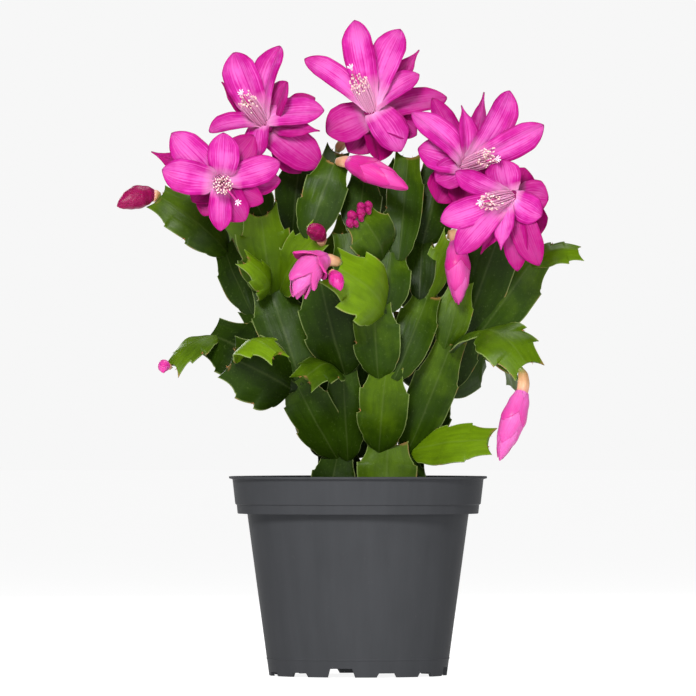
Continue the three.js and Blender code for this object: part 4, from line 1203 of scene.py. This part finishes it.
def spinProfile(profile, sides, name):
    # the closed half section is drawn edge by edge, then spun round the pot's axis
    clearSelection()
    bpy.ops.mesh.primitive_circle_add(vertices=len(profile), fill_type="NOTHING", location=(0, 0, 0))
    shell = bpy.context.object
    shell.name = name
    for vertex, (r, z) in zip(shell.data.vertices, profile):
        vertex.co = metres((r, 0, z))
    bpy.ops.object.mode_set(mode="EDIT")
    bpy.ops.mesh.select_all(action="SELECT")
    bpy.ops.mesh.spin(steps=sides, angle=2 * math.pi, center=potAxis, axis=(0, 0, 1))
    bpy.ops.mesh.select_all(action="SELECT")
    bpy.ops.mesh.remove_doubles(threshold=0.00001)
    bpy.ops.mesh.delete_loose()
    bpy.ops.mesh.select_all(action="SELECT")
    bpy.ops.mesh.normals_make_consistent(inside=False)
    bpy.ops.object.mode_set(mode="OBJECT")
    return shell


def rounded(corners, steps=3):
    # the corner points of a section, each with the size of the small arc that it is eased into
    made = []
    count = len(corners)
    for k, (point, size) in enumerate(corners):
        here = Vector(point)
        if not size:
            made.append(tuple(here))
            continue
        before = Vector(corners[k - 1][0]) - here
        after = Vector(corners[(k + 1) % count][0]) - here
        cut = min(size, before.length * 0.45, after.length * 0.45)
        arc = quadratic(here + before.normalized() * cut, here, here + after.normalized() * cut)
        made += [tuple(arc(s / steps)) for s in range(steps + 1)]
    return made


def cutFrom(shell, cutters):
    tool = joinPieces(cutters, "cutter")
    cut = shell.modifiers.new("Cut", "BOOLEAN")
    cut.operation = "DIFFERENCE"
    cut.solver = "EXACT"
    cut.object = tool
    finishModifiers(shell)
    discard(tool)


def footNotch(turn, wide, tall):
    # a block that narrows upward, to cut a gap in the foot ring
    clearSelection()
    bpy.ops.mesh.primitive_cube_add(size=1, location=(0, 0, 0))
    block = bpy.context.object
    cos, sin = math.cos(turn), math.sin(turn)
    for vertex in block.data.vertices:
        x = (wide / 2 if vertex.co.z > 0 else wide / 2 + 1.6) * (1 if vertex.co.x > 0 else -1)
        y = -potShape["foot"] + (5 if vertex.co.y > 0 else -5)
        z = tall if vertex.co.z > 0 else -1
        vertex.co = metres((x * cos - y * sin, x * sin + y * cos, z))
    return block


def drainHole(turn):
    clearSelection()
    ring, height = potShape["drainRing"], potShape["floor"] + potShape["wall"] / 2
    centre = metres((ring * math.cos(turn), ring * math.sin(turn), height))
    radius = potShape["drain"] / 1000
    bpy.ops.mesh.primitive_cylinder_add(vertices=32, radius=radius, depth=0.006, location=centre)
    bpy.ops.object.transform_apply(location=True, rotation=True, scale=True)
    return bpy.context.object


def makePot():
    p = potShape
    lip = p["height"] - p["lip"]
    ledge = p["collarFoot"] + p["wall"]
    inner = potRadius(p["floor"]) - p["wall"]
    corners = [
        ((0, p["floor"]), 0), ((inner - 0.6, p["floor"]), 0.3), ((p["foot"] - p["wall"] - 0.6, 0), 0.2),
        ((p["foot"], 0), 0.3), ((potRadius(7.4), 7.4), 0.15), ((potRadius(8) + 0.22, 7.9), 0.15),
        ((potRadius(8.6) + 0.02, 8.6), 0.15), ((p["bodyTop"], p["collarFoot"]), 0.15),
        ((p["collarRadius"], p["collarFoot"]), 0.35), ((p["collarRadius"] + 0.4, p["step"]), 0.2),
        ((p["stepRadius"], p["step"] + 0.4), 0.25), ((p["collarTop"], lip - 0.4), 0.3), ((p["rim"], lip), 0.2),
        ((p["rim"], p["height"]), 0.35), ((p["collarTop"] - p["wall"], p["height"]), 0.35),
        ((p["collarRadius"] - p["wall"], ledge), 0.4), ((p["bodyTop"] - p["wall"], ledge), 0.4),
        ((inner, p["floor"] + p["wall"]), 0.6), ((0, p["floor"] + p["wall"]), 0),
    ]
    pot = spinProfile(rounded(corners), p["sides"], "NurseryPot")
    cutters = []
    for k in range(round(360 / p["notchPitch"])):
        wide, tall = p["shallowNotch"] if k % 3 else (p["deepNotch"], p["floor"] - 0.1)
        cutters.append(footNotch(math.radians(p["notchTurn"] + k * p["notchPitch"]), wide, tall))
    cutFrom(pot, cutters)
    cutFrom(pot, [drainHole(2 * math.pi * k / p["drains"]) for k in range(p["drains"])])
    smooth(pot, 28)
    handOver(pot, "pot", "pot")


soilShape = {"top": 82, "rings": 60, "sides": 120, "crumbs": 420, "crumbReach": 53, "seat": 0.35}


def soilHeight(x, y):
    lump = math.sin(0.42 * x + 1) * math.cos(0.37 * y) + 0.5 * math.sin(0.9 * y)
    fine = noise.fractal(Vector((x * 0.35, y * 0.35, 3)), 0.9, 2.1, 5)
    return soilShape["top"] + 0.9 * lump + 1.1 * fine


def layCrumb(crumb):
    r = soilShape["crumbReach"] * math.sqrt(dice.random())
    turn = dice.uniform(0, 2 * math.pi)
    x, y = r * math.cos(turn), r * math.sin(turn)
    size = dice.uniform(0.6, 1.7)
    grain = copyOf(crumb)
    flat = dice.uniform(0.4, 0.9)
    twist = Matrix.Rotation(dice.uniform(0, 6), 3, "Z") @ Matrix.Rotation(dice.uniform(-0.6, 0.6), 3, "X")
    for vertex in grain.data.vertices:
        corner = vertex.co
        jagged = 1 + 0.3 * noise.noise(corner * 1.7 + Vector((x, y, 0)))
        spot = twist @ Vector((corner.x * dice.uniform(0.95, 1.4), corner.y, corner.z * flat)) * size * jagged
        vertex.co = metres((x + spot.x, y + spot.y, soilHeight(x, y) + size * 0.15 + spot.z))
    return grain


def makeSoil():
    # it stands a little clear of the pot all round
    p = potShape
    seat, top, rings = soilShape["seat"], soilShape["top"], soilShape["rings"]
    reach = p["collarRadius"] - p["wall"] - seat
    ledge = p["collarFoot"] + p["wall"] + seat
    base = p["floor"] + p["wall"] + seat
    edge = reach + (p["collarTop"] - p["collarRadius"]) * (top - ledge) / 16
    inset = p["wall"] + 0.4
    profile = [
        (0, base), (potRadius(base) - inset, base), (p["bodyTop"] - inset, ledge), (reach, ledge),
        (edge, top - 0.6), *((edge * (1 - k / rings), top) for k in range(1, rings + 1)),
    ]
    soil = spinProfile(profile, soilShape["sides"], "PottingSoil")
    for vertex in soil.data.vertices:
        spot = (vertex.co - potAxis) * 1000
        if spot.z > top - 0.01:
            vertex.co.z = soilHeight(spot.x, spot.y) / 1000
    clearSelection()
    bpy.ops.mesh.primitive_ico_sphere_add(subdivisions=1, radius=1, location=(0, 0, 0))
    crumb = bpy.context.object
    crumbs = [layCrumb(crumb) for _ in range(soilShape["crumbs"])]
    discard(crumb)
    soil = joinPieces([soil, *crumbs], "PottingSoil")
    smooth(soil, 35)
    handOver(soil, "soil", "soil")


makePot()
makeSoil()
print("the pot is filled")


# Floor, light and camera. A lamp's place and size are in metres.
studio = {
    "floorDark": (0.35, 0.35, 0.35), "floorLight": (0.36, 0.36, 0.36), "floorGlow": 0.88,
    "horizon": (0.93, 0.93, 0.93), "aboveHorizon": (0.12, 0.12, 0.12), "overhead": (0.2, 0.2, 0.2),
    "frameCentre": (-4.65, 152.2), "frameWidth": 323.7, "distance": 4500, "eye": 124, "film": 36,
    "lampAim": 150,
}
lamps = {
    "keyLight": {"from": (-0.3, -1.38, 0.9), "size": 0.45, "power": 30},
    "fillLight": {"from": (0.6, -1.4, 0.4), "size": 0.7, "power": 6},
    "topLight": {"from": (0.2, 0.5, 1.5), "size": 0.8, "power": 9},
    "backLight": {"from": (-0.7, 1.5, 0.6), "size": 0.8, "power": 8},
}


def makeFloor():
    clearSelection()
    bpy.ops.mesh.primitive_plane_add(size=30, location=(potAxis.x, potAxis.y, -0.0002))
    floor = bpy.context.object
    floor.name = "Floor"
    made, tree, shader = startMaterial("paleFloor", 0.9)
    tint = addRamp(tree, addNoise(tree, 3, 2), [(0.3, studio["floorDark"]), (0.7, studio["floorLight"])])
    tree.links.new(tint, shader.inputs["Base Color"])
    shader.inputs["Emission Color"].default_value = (1, 1, 1, 1)
    shader.inputs["Emission Strength"].default_value = studio["floorGlow"]
    shader.inputs["Specular IOR Level"].default_value = 0
    floor.data.materials.append(made)


def makeSky():
    # nearly white at the horizon, and grey overhead
    world = bpy.data.worlds.new("softWhite")
    bpy.context.scene.world = world
    world.use_nodes = True
    tree = world.node_tree
    split = tree.nodes.new("ShaderNodeSeparateXYZ")
    tree.links.new(tree.nodes.new("ShaderNodeTexCoord").outputs["Generated"], split.inputs[0])
    sky = addRamp(tree, addMath(tree, "ABSOLUTE", split.outputs["Z"]), [
        (0.045, studio["horizon"]), (0.085, studio["aboveHorizon"]), (1, studio["overhead"]),
    ])
    tree.links.new(sky, tree.nodes["Background"].inputs["Color"])
    tree.nodes["Background"].inputs["Strength"].default_value = 1


def makeLamp(name, lamp):
    clearSelection()
    bpy.ops.object.light_add(type="AREA", location=Vector(lamp["from"]) + potAxis)
    light = bpy.context.object
    light.name = name
    light.data.shape = "DISK"
    light.data.size = lamp["size"]
    light.data.energy = lamp["power"]
    aim = metres((0, 0, studio["lampAim"])) - light.location
    light.rotation_euler = aim.to_track_quat("-Z", "Y").to_euler()


def makeCamera():
    clearSelection()
    away, wide = studio["distance"], studio["frameWidth"]
    x, z = studio["frameCentre"]
    bpy.ops.object.camera_add(location=metres((x, -away, studio["eye"])), rotation=(math.pi / 2, 0, 0))
    camera = bpy.context.object
    camera.data.sensor_width = studio["film"]
    camera.data.lens = studio["film"] * away / wide
    camera.data.shift_y = (z - studio["eye"]) / wide
    camera.data.clip_start = 0.1
    camera.data.clip_end = 50
    camera.data.dof.use_dof = False
    bpy.context.scene.camera = camera


makeFloor()
makeSky()
for name, lamp in lamps.items():
    makeLamp(name, lamp)
makeCamera()
bpy.context.scene.view_settings.view_transform = "Standard"
print("the stage is lit")
